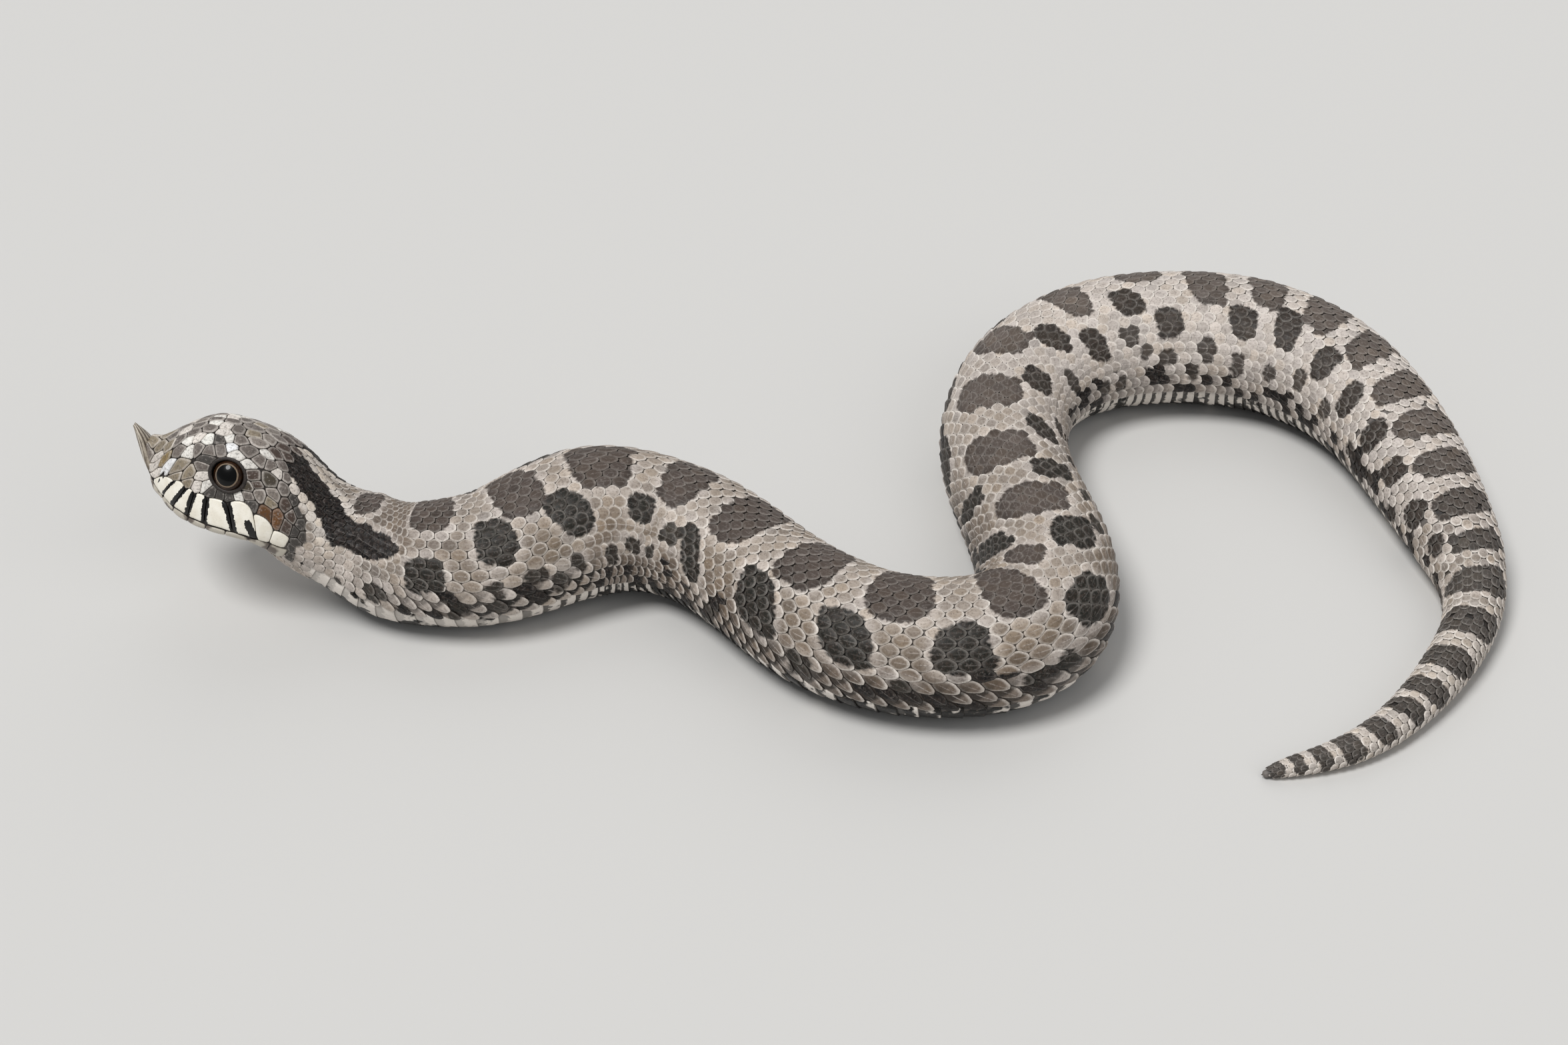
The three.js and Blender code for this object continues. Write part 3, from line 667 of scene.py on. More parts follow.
# how far the lowest scales lean down towards the belly, in radians, by station
ROW_LEAN = [(28, 0), (36, 0.8), (50, 0.75), (58, 0.25), (76, 0.15), (88, 0.6), (120, 0.75),
            (140, 0.5), (170, 0.3), (235, 0.25), (262, 0)]
FIRST_ROW = 14
SCALE_DIRECTIONS = 14
SCALE_RINGS = np.array([0.45, 0.8, 0.94, 1.0])
CORNER_SHARPNESS = 8
SCALE_OVERLAP = 1.09  # how much longer and wider a scale is than its share of the body
DOME, RIM_DROP = 0.06, 0.10  # how far a full-sized scale bulges, and how far its rim rolls down
TIP_LIFT, LEANING_TIP_LIFT = 0.07, 0.1
KEEL_HEIGHT, TALLEST_KEEL = 0.05, 1.6  # the ridge along a scale's middle, and its largest share
FULL_SIZE = 1.35  # width of scale from which all heights are whole
# spread of the scales' outlines, turns, heights, marking borders and tones
OUTLINE_VARIES, TURN_VARIES, LIFT_VARIES, BORDER_VARIES, TONE_VARIES = 0.02, 0.04, 0.012, 0.10, 0.10
MARKING_SPREAD = 0.7
BAKE_PATCH, BAKE_MARGIN = 0.003, 0.02  # size of one scale on the bake map, and the map's border


def row_stations(shift):
    """Stations of all cross rows of scales, shifted by a part of a row: the rows between two
    places are the sum of 1 / pitch."""
    knots = np.linspace(FIRST_ROW, TAIL_TIP, 3000)
    pitch = by_station(ROW_PITCH, knots)
    count = np.concatenate([[0], np.cumsum((1 / pitch[1:] + 1 / pitch[:-1]) / 2 * np.diff(knots))])
    return np.interp(np.arange(0, count[-1]) + shift, count, knots)


def first_station(down):
    """Where a long row of scales starts behind the head's plates: nearest on the nape."""
    return np.interp(down, [0, 0.42, 0.5, 0.62, 0.8, 1.0], [16.3, 16.3, 18.6, 21.0, 22.0, 22.0])


def scale_places():
    """Station, part of the half girth, pitch along, pitch across, lean and keel of each scale.

    Long rows lie side by side, each a half pitch on from the last, and widen down the flank.
    The lean is the turn of the scale's length down towards the belly, in radians.
    """
    out = []
    for start, stop, rows in ROW_COUNTS:
        for i in range(rows):
            row = i - (rows - 1) / 2
            down = abs(row) / (rows / 2)
            a = row_stations(0.5 * (i % 2))
            a = a[(a >= max(start, first_station(down))) & (a < stop)]
            edge = by_station(BELLY_EDGE, a)
            reach = np.sign(row) * edge * down * (0.93 + 0.07 * down * down)
            across = edge * half_girth(a) / (rows / 2) * (0.93 + 0.21 * down * down)
            lean = np.sign(row) * by_station(ROW_LEAN, a) * fade(down, 0.58, 0.85)
            # keel strength, strongest on the flanks: the ridge's height and the painted highlight along it
            keel = (0.8 + 1.2 * fade(down, 0.3, 0.6)) * (1 - fade(down, 0.88, 1.0))
            out.append(np.column_stack([a, reach, by_station(ROW_PITCH, a), across, lean,
                                        np.full(len(a), keel)]))
    return np.vstack(out)


def cell_reach(turn, along, across):
    """How far a scale reaches in a direction: half way to each of its six neighbours, the six
    distances joined by a high-power mean, so that the corners of the hexagon are round."""
    total = 0
    for x, y in ((1, 0), (-1, 0), (0.5, 1), (0.5, -1), (-0.5, 1), (-0.5, -1)):
        x, y = x * along, y * across
        towards = 2 * (np.cos(turn) * x + np.sin(turn) * y) / (x * x + y * y)
        total = total + np.maximum(towards, 0) ** CORNER_SHARPNESS
    return total ** (-1 / CORNER_SHARPNESS)


def radial_faces(directions, rings):
    """Faces of a shape made of a middle point, rings round it, and one point beneath: quads
    between rings, then the triangles at the middle and underneath."""
    k = np.arange(directions)
    after = (k + 1) % directions
    quads = [np.column_stack([1 + i * directions + k, 1 + i * directions + after,
                              1 + (i + 1) * directions + after, 1 + (i + 1) * directions + k])
             for i in range(rings - 1)]
    outer = 1 + (rings - 1) * directions
    under = np.full(directions, 1 + rings * directions)
    top = np.column_stack([np.zeros(directions, int), 1 + after, 1 + k])
    return np.vstack(quads), np.vstack([top, np.column_stack([outer + k, outer + after, under])])


def unit_rings(rings, turn):
    """Points of a shape of radius 1 in the order of radial_faces: middle, rings, point beneath."""
    ring_points = np.stack([np.outer(rings, np.cos(turn)), np.outer(rings, np.sin(turn))], axis=-1)
    return np.pad(ring_points.reshape(-1, 2), ((1, 1), (0, 0)))


def on_map(x, low, high):
    """Places from low to high as parts of a bake map that has a margin on each side."""
    return BAKE_MARGIN + (1 - 2 * BAKE_MARGIN) * (x - low) / (high - low)


def make_scales(name, places, span, material, rng):
    """Joined scales, each a rounded hexagon: domed as 1 - r^2, with a ridge along its middle line,
    tipped up evenly to its free rear edge, rounded down at its rim, and closed beneath by a
    shallow cone."""
    n = len(places)
    turn = np.linspace(0, 2 * math.pi, SCALE_DIRECTIONS, endpoint=False)
    a, f, along, across, lean, keel = (column[:, None] for column in places.T)
    outline = SCALE_OVERLAP * cell_reach(turn[None], along, across) * rng.normal(1, OUTLINE_VARIES, (n, 1))
    rings = SCALE_RINGS[None, :, None]
    x = (rings * (outline * np.cos(turn))[:, None]).reshape(n, -1)
    y = (rings * (outline * np.sin(turn))[:, None]).reshape(n, -1)
    r = np.repeat(SCALE_RINGS, SCALE_DIRECTIONS)
    x, y, r = (np.pad(c, ((0, 0), (1, 1))) for c in (x, y, np.tile(r, (n, 1))))
    x = x * (1 + 0.6 * np.abs(lean))
    y = y * (1 - 0.15 * np.abs(lean))
    swing = lean + rng.normal(0, TURN_VARIES, (n, 1))
    x, y = x * np.cos(swing) - y * np.sin(swing), x * np.sin(swing) + y * np.cos(swing)
    circle = unit_rings(SCALE_RINGS, turn)
    crest = (np.abs(circle[:, 1]) < 1e-9) * fade(circle[:, 0], -0.9, -0.2)
    stretch = np.clip(sample(STRETCH, a, f), 0.72, 1.05)
    size = np.clip(across / FULL_SIZE, 0.35, 1.0)
    tip = (TIP_LIFT + LEANING_TIP_LIFT * np.abs(lean)) * size
    lift = (-0.3 * skin_depth(a) - tip * 0.6 + tip * np.clip(x / along * 2, -1.2, 1.2)
            + size * (DOME * (1 - r * r) - RIM_DROP * fade(r, 0.8, 1.05))
            + rng.normal(0, LIFT_VARIES, (n, 1)))
    lift = lift + KEEL_HEIGHT * np.minimum(keel, TALLEST_KEEL) * size * crest
    lift[:, -1] = (-skin_depth(a) - 0.3 * size)[:, 0]
    points = on_body((a + x / stretch).ravel(), (f + y / half_girth(a)).ravel(), lift.ravel())
    m = x.shape[1]
    # markings are read part way from each scale's middle to its own points
    colour, rim, base = coat_colour(
        (a + MARKING_SPREAD * x / stretch).ravel(),
        wrapped(f + MARKING_SPREAD * y / half_girth(a)).ravel(),
        np.repeat(rng.normal(0, BORDER_VARIES, n), m), np.repeat(rng.random(n), m))
    tint = np.repeat(1 + np.outer(rng.random(n) ** 2 * 0.35, [0.12, -0.02, -0.24]), m, axis=0)
    colour = colour * tint * np.repeat(rng.normal(1, TONE_VARIES, n), m)[:, None]
    lie = np.tile(0.5 + 0.5 * circle, (n, 1))
    root = np.column_stack([on_map(places[:, 0], *span), on_map(places[:, 1], -1, 1)])
    patch = np.repeat(root, m, axis=0) + BAKE_PATCH / 2 * (2 * lie - 1)
    quads, triangles = radial_faces(SCALE_DIRECTIONS, len(SCALE_RINGS))
    ob = mesh_object(name, points, repeat_faces(quads, m, n), repeat_faces(triangles, m, n),
                     uv_maps={"Lie": lie, "OFBake": patch},
                     values={"marking": np.clip(colour, 0.004, 0.9),
                             "rim": rim * np.repeat(rng.uniform(0.6, 1.35, n), m),
                             # the keel value sets the painted highlight along each keel, fainter on dark
                             # scales
                             "keel": np.repeat(places[:, 5] * rng.uniform(0.5, 1.5, n), m)
                             * (0.3 + 0.7 * fade(colour[:, 1], 0, 0.12)), "base": base})
    finish_piece(ob, material)


# ---------- belly ----------
SCUTE_ACROSS = 17
FIRST_SCUTE = 24.4
SCUTE_PITCH = 1.9


def make_scutes(material, rng):
    """Wide belly plates from throat to vent, each overlapping the next, their ends under the
    lowest scales. The plate over the vent is last."""
    count = int((VENT - FIRST_SCUTE) / SCUTE_PITCH)
    starts = FIRST_SCUTE + SCUTE_PITCH * np.arange(count)
    along = np.array([-1, -0.3, 0.5, 0.9, 1.0])
    across = np.linspace(-1, 1, SCUTE_ACROSS)
    p, s = np.meshgrid(along, across, indexing="ij")
    p, s = p.ravel(), s.ravel()
    m = len(p)
    a = starts[:, None] + 0.66 * SCUTE_PITCH * (p - 0.12 * (s * s) * (s * s))
    edge = by_station(BELLY_EDGE, starts)[:, None] - 0.012
    reach = 1 + s * (1 - edge)
    depth = skin_depth(starts)[:, None]
    tilt = (0.35 + 0.65 * fade(starts, 42, 60))[:, None]
    lift = -depth - 0.04 + (depth - 0.02) * (tilt * (p + 1) / 2 + 0.6 * (1 - tilt))
    lift = lift - 0.1 * fade(np.abs(s), 0.9, 1.0)
    top = on_body(a.ravel(), reach.ravel(), lift.ravel())
    under = on_body(a.ravel(), reach.ravel(), np.minimum(lift - 0.13, -depth - 0.1).ravel())
    points = np.concatenate([top.reshape(count, m, 3), under.reshape(count, m, 3)], axis=1).reshape(-1, 3)
    quads = grid_quads(len(along), SCUTE_ACROSS)
    rim = grid_rim(len(along), SCUTE_ACROSS)
    walls = np.column_stack([rim, rim + m, np.roll(rim, -1) + m, np.roll(rim, -1)])
    solid = np.vstack([quads, quads[:, ::-1] + m, walls])
    side_cream = np.interp(starts, [58, 72, 130, 190], [0.95, 0.42, 0.45, 0.8])[:, None]
    cream = rng.random((count, 1)) * 0.5 + fade(np.abs(s), 0.55, 0.75)[None] * side_cream
    cream = np.repeat(np.clip(cream, 0, 1), 2, axis=0).ravel()
    lie = np.column_stack([np.tile(0.5 + 0.5 * p, 2 * count), np.tile(0.5 + 0.5 * s, 2 * count)])
    place = (starts - FIRST_SCUTE) / (VENT - FIRST_SCUTE)
    bake = np.column_stack([np.repeat(0.01 + 0.97 * place, 2 * m) + 0.0035 * lie[:, 0],
                            0.02 + 0.47 * lie[:, 1]])
    bake[:, 1] += np.tile(np.repeat([0.0, 0.49], m), count)
    ob = mesh_object("belly_scutes", points, repeat_faces(solid, 2 * m, count),
                     uv_maps={"Lie": lie, "OFBake": bake},
                     values={"cream": cream, "chance": np.repeat(rng.random(count), 2 * m),
                             "barred": np.repeat(0.35 + 0.65 * fade(starts, 40, 52), 2 * m)})
    finish_piece(ob, material)


def throat_top(a):
    """Round distance above which the throat's small scales give way to the jaw's plates."""
    return np.interp(a, [12, 15.5, 18.6, 21.0, 21.4, 25.5], [18.9, 18.4, 16.4, 14.9, 13.9, 13.4])


def under_tail_places():
    """Places of the scales in two rows under the tail, and of the small ones of the throat."""
    out = []
    for side in (1, -1):
        a = row_stations(0.25 * (1 + side))
        a = a[(a > VENT + 0.6) & (a < 307.2)]
        room = 1 - by_station(BELLY_EDGE, a)
        nought = np.zeros(len(a))
        out.append(np.column_stack([a, side * (1 - 0.5 * room), by_station(ROW_PITCH, a),
                                    1.05 * room * half_girth(a), nought, nought]))
        for k in range(9):
            a = np.arange(12.6, 25.4, 1.3) + 0.65 * (k % 2)
            v = half_girth(a) - 0.6 - 1.15 * k
            keep = v > throat_top(a)
            a, v = a[keep], v[keep]
            nought = np.zeros(len(a))
            out.append(np.column_stack([a, side * v / half_girth(a), nought + 1.3, nought + 1.15,
                                        nought, nought]))
    return np.vstack(out)


# ---------- materials ----------
SHADER_INPUTS = {"base": "Base Color", "roughness": "Roughness", "specular": "Specular IOR Level",
                 "coat": "Coat Weight", "coat_ior": "Coat IOR", "coat_roughness": "Coat Roughness"}


class Nodes:
    """Short ways to place and join shader nodes of one material."""

    def __init__(self, name):
        self.material = bpy.data.materials.new(name)
        self.material.use_nodes = True
        self.tree = self.material.node_tree
        self.shader = self.tree.nodes["Principled BSDF"]

    def new(self, kind, **settings):
        """A node of a kind, with its settings."""
        node = self.tree.nodes.new(kind)
        for key, value in settings.items():
            setattr(node, key, value)
        return node

    def put(self, value, socket):
        """Links a socket, or sets it to a number or to the colour of a tone or #rrggbb code."""
        if isinstance(value, bpy.types.NodeSocket):
            self.tree.links.new(value, socket)
        elif isinstance(value, str):
            socket.default_value = (*(TONES[value] if value in TONES else shade(value)), 1.0)
        else:
            socket.default_value = value

    def surface(self, **settings):
        """Sets the shader's own inputs, named in lower case with _ for a space."""
        for key, value in settings.items():
            self.put(value, self.shader.inputs[SHADER_INPUTS[key]])

    def math(self, operation, *values, clamp=False):
        """One step of arithmetic."""
        node = self.new("ShaderNodeMath", operation=operation, use_clamp=clamp)
        for value, socket in zip(values, node.inputs):
            self.put(value, socket)
        return node.outputs[0]

    def number(self, name):
        """A number kept at each point of the mesh."""
        return self.new("ShaderNodeAttribute", attribute_name=name).outputs["Fac"]

    def colour(self, name):
        """A colour kept at each point of the mesh."""
        return self.new("ShaderNodeAttribute", attribute_name=name).outputs["Color"]

    def spot(self, scale, detail=2.0, roughness=0.5):
        """Noise on the object's own coordinates; scale is in features to the metre."""
        node = self.new("ShaderNodeTexNoise", noise_dimensions="3D")
        self.tree.links.new(self.new("ShaderNodeTexCoord").outputs["Object"], node.inputs["Vector"])
        node.inputs["Scale"].default_value = scale
        node.inputs["Detail"].default_value = detail
        node.inputs["Roughness"].default_value = roughness
        return node.outputs["Fac"]

    def between(self, value, low, high, to_low=0.0, to_high=1.0):
        """Smooth step of value from low to high, rescaled."""
        node = self.new("ShaderNodeMapRange", interpolation_type="SMOOTHSTEP")
        for key, setting in (("Value", value), ("From Min", low), ("From Max", high),
                             ("To Min", to_low), ("To Max", to_high)):
            self.put(setting, node.inputs[key])
        return node.outputs["Result"]

    def mix(self, part, low, high):
        """The given part of the way from colour low to high."""
        node = self.new("ShaderNodeMix", data_type="RGBA")
        self.put(part, node.inputs["Factor"])
        colours = [socket for socket in node.inputs if socket.type == "RGBA"]
        self.put(low, colours[0])
        self.put(high, colours[1])
        return [socket for socket in node.outputs if socket.type == "RGBA"][0]

    def bump(self, height, distance, strength):
        """Relief of a height, over a distance in metres."""
        node = self.new("ShaderNodeBump")
        node.inputs["Strength"].default_value = strength
        node.inputs["Distance"].default_value = distance
        self.put(height, node.inputs["Height"])
        self.put(node.outputs["Normal"], self.shader.inputs["Normal"])

    def lie(self):
        """Place on a scale from its own map: p back and q across, -1 to 1, and the part r of
        the way from its middle to its edge."""
        node = self.new("ShaderNodeUVMap", uv_map="Lie")
        split = self.new("ShaderNodeSeparateXYZ")
        self.put(node.outputs["UV"], split.inputs["Vector"])
        p = self.math("MULTIPLY_ADD", split.outputs["X"], 2.0, -1.0)
        q = self.math("MULTIPLY_ADD", split.outputs["Y"], 2.0, -1.0)
        squares = self.math("MULTIPLY_ADD", p, p, self.math("MULTIPLY", q, q))
        return p, q, self.math("SQRT", squares)


def scale_material(name, speck_tone, speck_part, roughness, seam, fleck):
    """Keratin of a scale: its marking's colour with brown specks and pale flecks, a cream ring just
    inside the edge, a fine pale line along the keel that is a painted highlight, a dark front on the
    lower rows that is painted shade under the scale before, and a dark seam outside part seam, partly
    the dark skin between scales and partly painted shade in the gap."""
    n = Nodes(name)
    p, q, r = n.lie()
    speck = n.spot(3600.0, 3.0, 0.62)
    colour = n.mix(n.between(speck, 0.48, 0.68, 0.0, speck_part), n.colour("marking"), speck_tone)
    pale = n.between(n.spot(2400.0, 4.0, 0.7), 0.53, 0.66, 0.0, fleck)
    colour = n.mix(pale, colour, "pale")
    cloud = n.spot(900.0, 2.0)
    colour = n.mix(n.between(cloud, 0.35, 0.7, 0.0, 0.16), colour, "brown")
    ring = n.math("MULTIPLY", n.between(r, 0.58, 0.9), n.between(r, 0.99, 0.93))
    part = n.math("MULTIPLY", ring, n.math("MULTIPLY_ADD", p, 0.22, 0.78))
    part = n.math("MULTIPLY", part, n.number("rim"))
    broken = n.math("MULTIPLY", part, n.between(speck, 0.72, 0.42, 0.6, 1.0), clamp=True)
    colour = n.mix(broken, colour, "cream")
    # painted shade: the front of each lower scale, under the scale before, darkened towards black
    front = n.between(n.math("MULTIPLY_ADD", speck, 0.5, p), 0.5, 0.2)
    front = n.math("MULTIPLY", n.math("MULTIPLY", front, n.number("base")), 0.95)
    colour = n.mix(front, colour, "black")
    # painted highlight: a pale line along the keel where it catches the light; it also shapes the bump
    line = n.math("MULTIPLY", n.between(n.math("ABSOLUTE", q), 0.11, 0.02), n.number("keel"))
    line = n.math("MULTIPLY", line, n.between(p, -0.6, -0.1, 0.0, 0.2))
    line = n.math("MULTIPLY", line, n.between(speck, 0.62, 0.42, 0.25, 1.0))
    colour = n.mix(line, colour, "pale")
    # dark seam at the edge: partly the dark skin between scales, partly painted shade in the gap
    colour = n.mix(n.between(r, seam, 1.0, 0.0, 0.85), colour, "seam")
    n.surface(base=colour, specular=0.2,
              roughness=n.between(speck, 0.2, 0.8, roughness - 0.06, roughness + 0.10))
    grain = n.math("ADD", n.spot(9000.0, 2.0), n.math("MULTIPLY", speck, 0.6))
    n.bump(n.math("MULTIPLY_ADD", line, 6.0, grain), 0.00002, 0.6)
    return n.material


def skin_material():
    """Skin between scales: dark, fine-grained and soft."""
    n = Nodes("skin_between_scales")
    grain = n.spot(4200.0, 4.0, 0.6)
    colour = n.mix(n.between(grain, 0.4, 0.65, 0.0, 0.35), n.colour("marking"), "brown")
    n.surface(base=colour, roughness=n.between(grain, 0.3, 0.7, 0.5, 0.65))
    n.bump(grain, 0.00004, 0.6)
    return n.material


def scute_material():
    """Belly plates: black mottled with cream, and cream ends with a dark bar at each base."""
    n = Nodes("belly_plates")
    p, _, _ = n.lie()
    patch = n.spot(420.0, 2.0, 0.55)
    chance = n.math("MULTIPLY_ADD", n.number("chance"), 0.22, patch)
    light = n.math("MULTIPLY_ADD", n.number("cream"), 0.42, chance)
    colour = n.mix(n.between(light, 0.86, 0.94), "black", "cream")
    edge = n.spot(1500.0, 2.0)
    bar = n.between(n.math("MULTIPLY_ADD", edge, 0.9, p), 0.62, 0.42, 0.0, 0.92)
    colour = n.mix(n.math("MULTIPLY", bar, n.number("barred")), colour, "black")
    colour = n.mix(n.between(n.spot(3800.0, 3.0), 0.55, 0.7, 0.0, 0.3), colour, "tan")
    colour = n.mix(n.between(p, 0.92, 1.0, 0.0, 0.6), colour, "seam")
    n.surface(base=colour, roughness=n.between(edge, 0.3, 0.7, 0.32, 0.45), specular=0.25)
    n.bump(n.spot(7000.0, 2.0), 0.00002, 0.4)
    return n.material


# ---------- head plates ----------
# plates of the head's left side and crown by shade: station, round and, where it is not 1, size.
# They are repeated on the right, and those with no round lie on the crown's middle line.
HEAD_PLATES = {
    "tan": [(1.5, 0), (-0.3, 1.3), (1.2, 2.3), (2.4, 3.2), (4.7, 7.6, 1.25), (4.3, 9.1, 0.8),
            (6.3, 9.3, 0.8), (6.3, 10.8), (12.0, 1.6, 0.9), (16.1, 9.5, 0.75)],
    "ochre": [(2.2, 5.2)],
    "cream": [(1.0, 3.7), (1.0, 4.8), (1.3, 6.2), (3.8, 1.6), (6.2, 4.4, 0.7), (7.8, 9.8),
              (7.6, 11.1), (8.8, 1.6), (9.0, 3.0), (15.4, 5.7, 0.8)],
    "white": [(3.0, 6.6), (4.9, 4.4, 0.8), (5.6, 6.2), (7.4, 4.8), (8.5, 11.1, 0.8), (7.3, 1.2, 0.8),
              (9.8, 3.9), (10.5, 5.2), (11.3, 6.0), (12.6, 6.8, 0.8), (13.9, 4.1, 0.8),
              (12.75, 11.2, 0.85)],
    "grey": [(3.3, 0), (7.0, 0), (9.0, 0), (11.6, 0), (14.0, 0), (2.4, 1.6), (3.7, 3.3), (4.1, 5.2),
             (5.1, 3.0), (5.3, 1.5), (6.6, 6.0), (6.9, 2.4), (8.1, 6.4), (7.7, 8.5), (9.4, 5.8),
             (10.2, 1.7), (11.0, 3.7), (12.2, 4.9, 1.3), (13.4, 5.4, 1.1), (14.5, 5.3), (15.5, 4.4),
             (16.4, 5.4, 0.8), (16.7, 7.0), (13.7, 10.5)],
    "slate": [(8.9, 4.5), (8.0, 7.5), (10.6, 11.85), (11.7, 11.75, 0.9), (9.5, 11.8),
              (14.2, 11.2, 0.8), (18.2, 7.0, 0.7), (19.4, 7.5, 0.7), (20.5, 8.4, 0.9),
              (20.5, 9.6, 0.8), (21.6, 9.4), (21.4, 10.6, 0.9),
              (21.5, 11.6, 0.8), (21.9, 12.9, 0.8)],
    "brown": [(16.2, 0), (14.5, 3.3, 1.1), (14.8, 1.3), (15.5, 2.5), (13.3, 7.8, 1.1), (14.0, 8.7, 0.7),
              (17.8, 8.2), (19.0, 8.6), (19.3, 10.0)],
    "olive": [(13.3, 9.4), (15.1, 7.2, 1.25)],
    "ash": [(-0.3, 3.2), (5.2, 0), (12.6, 2.8), (13.3, 1.2), (16.0, 8.4), (14.7, 9.6, 1.1)],
    "orange": [(16.3, 11.0, 1.1), (17.7, 10.3, 1.1)]}
PLATE_RIMS = {"tan": 0.6, "ochre": 0.4, "cream": 0.35, "white": 0.2, "grey": 0.5, "slate": 0.16,
              "brown": 0.42, "olive": 0.5, "ash": 0.6, "orange": 0.15}
# chin plates: station, distance from the chin's middle line, size
CHIN_PLATES = [(0.5, 0.0, 0.9), (1.9, 0.0, 0.7), (3.6, 1.1, 1.4), (7.3, 1.3, 1.5), (6.6, 3.7, 0.9),
               (9.2, 3.3, 0.9), (8.9, 5.1, 0.8), (10.4, 0.8, 0.9), (11.0, 2.3, 0.8),
               (11.1, 3.9, 0.8), (11.2, 5.3, 0.8)]
# seams between the plates of the upper lip: station on the lip, and upper end as station, round
LIP_SEAMS = np.array([(1.2, 1.2, 6.9), (3.1, 4.4, 9.6), (4.9, 6.2, 11.4), (7.2, 7.4, 12.2),
                      (9.4, 9.1, 12.5), (13.5, 11.6, 12.4), (16.9, 14.9, 12.2), (18.5, 18.1, 11.9),
                      (20.6, 20.4, 10.8)])
LIP_BOWS = [0.3, 0.3, 0.25, 0.2, 0.15, 0.8, 0.45, 0.3]
# edge of the crown's and cheeks' plates in front of the lip, and behind the mouth's corner
LIP_FRONT = [(-1.0, 4.6), (0.2, 5.7)]
LIP_CORNER = [(20.75, 12.0), (21.3, 12.4), (21.3, 13.9), (23.5, 13.9)]
JAW_SEAMS = np.array([0.4, 2.9, 4.9, 7.2, 9.6, 12.4, 15.8, 18.8, 21.2])
CHIN_FRONT = [(-0.15, 0), (0, 0.5), (0.2, 1.1)]
JAW_BAND = 2.1
JAW_SLANT = 0.75  # how far back the foot of the first seam of the jaw lies
LIP_CLEARANCE, JAW_CLEARANCE = 0.10, 0.16  # room that the plates leave at the mouth's line
# dark bars of the lip: foot and head as station, round; width; sixth bar is its plate's lower half
LIP_BARS = [(3.3, 10.4, 4.4, 9.7, 0.7), (4.9, 12.9, 6.2, 11.3, 1.0), (7.1, 15.0, 7.4, 12.2, 0.85),
            (9.4, 15.9, 9.1, 12.7, 0.85), (13.7, 15.9, 11.6, 12.5, 1.05), (16.6, 15.0, 14.9, 13.7, 1.1),
            (10.7, 14.6, 10.7, 15.2, 0.12), (2.2, 8.0, 2.9, 7.9, 0.5)]
PLATE_DIRECTIONS = 26
PLATE_RINGS = np.array([0.4, 0.72, 0.88, 0.96, 1.0])
PLATE_SHARPNESS = 13
PLATE_GAP = 0.015
LARGEST_PLATE = 2.4  # how far a plate reaches where it has no neighbour
PLATE_DOME, PLATE_RIM_DROP = 0.07, 0.2
NOSTRIL = (2.5, 7.4)
NOSTRIL_RADIUS = 0.38


def lip_top(k, u):
    """Upper edge of lip plate k at parts u of its length: between its seams, bowed upwards."""
    (_, a0, v0), (_, a1, v1) = LIP_SEAMS[k:k + 2]
    bow = LIP_BOWS[k] * (1 - (2 * u - 1) ** 2)
    return a0 + (a1 - a0) * u + 0.3 * bow, v0 + (v1 - v0) * u - bow


def ray_to_line(x, y, dx, dy, line):
    """Distance along each ray to the nearest crossing with a broken line, or infinity."""
    nearest = np.full(np.broadcast(x, dx).shape, np.inf)
    for (x0, y0), (x1, y1) in zip(line[:-1], line[1:]):
        ex, ey = x1 - x0, y1 - y0
        cross = dx * ey - dy * ex
        cross = np.where(np.abs(cross) < 1e-9, 1e-9, cross)
        along = ((x0 - x) * ey - (y0 - y) * ex) / cross
        part = ((x0 - x) * dy - (y0 - y) * dx) / cross
        hit = (along > 0) & (part >= 0) & (part <= 1)
        nearest = np.where(hit, np.minimum(nearest, along), nearest)
    return nearest


def ray_to_eye(x, y, dx, dy, to_reach):
    """Distance along each ray to the rim of either eye's socket, stepping outwards."""
    steps = np.linspace(0.1, 3.0, 30)[:, None, None]
    a = x + steps * dx
    f = to_reach(a, y + steps * dy)
    points = on_body(a.ravel(), f.ravel(), np.zeros(a.size)).reshape(a.shape + (3,))
    inside = np.zeros(a.shape, bool)
    for side in (1, -1):
        off_axis, high, _ = from_eye(points, side)
        inside |= (off_axis < SOCKET_RADIUS + 0.16) & (high > -1)
    first = np.argmax(inside, axis=0)
    return np.where(inside.any(axis=0), steps[:, 0, 0][first], np.inf)


def plate_outlines(seeds, others, lines, to_reach):
    """How far each plate reaches in each direction: half way to every other plate, weighed by
    size, or to the lip plates' upper edge or the eye's rim, joined by a high-power mean."""
    turn = np.linspace(0, 2 * math.pi, PLATE_DIRECTIONS, endpoint=False)
    dx, dy = np.cos(turn)[None], np.sin(turn)[None]
    x, y = seeds[:, :1], seeds[:, 1:2]
    around = np.vstack([seeds, others])
    gap = around[None, :, :2] - seeds[:, None, :2]
    square = (gap ** 2).sum(-1)
    power = square + 0.35 * (seeds[:, None, 2] ** 2 - around[None, :, 2] ** 2)
    towards = 2 * (gap[..., :1] * dx[None] + gap[..., 1:] * dy[None])
    near = (square > 1e-6) & (power > 1e-3)
    terms = np.where(near[..., None], np.maximum(towards, 0) / np.where(near, power, 1)[..., None], 0)
    total = (terms ** PLATE_SHARPNESS).sum(1)
    for line in lines:
        total = total + ray_to_line(x, y, dx, dy, line) ** -PLATE_SHARPNESS
    total = total + ray_to_eye(x, y, dx, dy, to_reach) ** -PLATE_SHARPNESS
    total = total + LARGEST_PLATE ** -PLATE_SHARPNESS
    return np.maximum(total ** (-1 / PLATE_SHARPNESS) - PLATE_GAP, 0.1), dx, dy


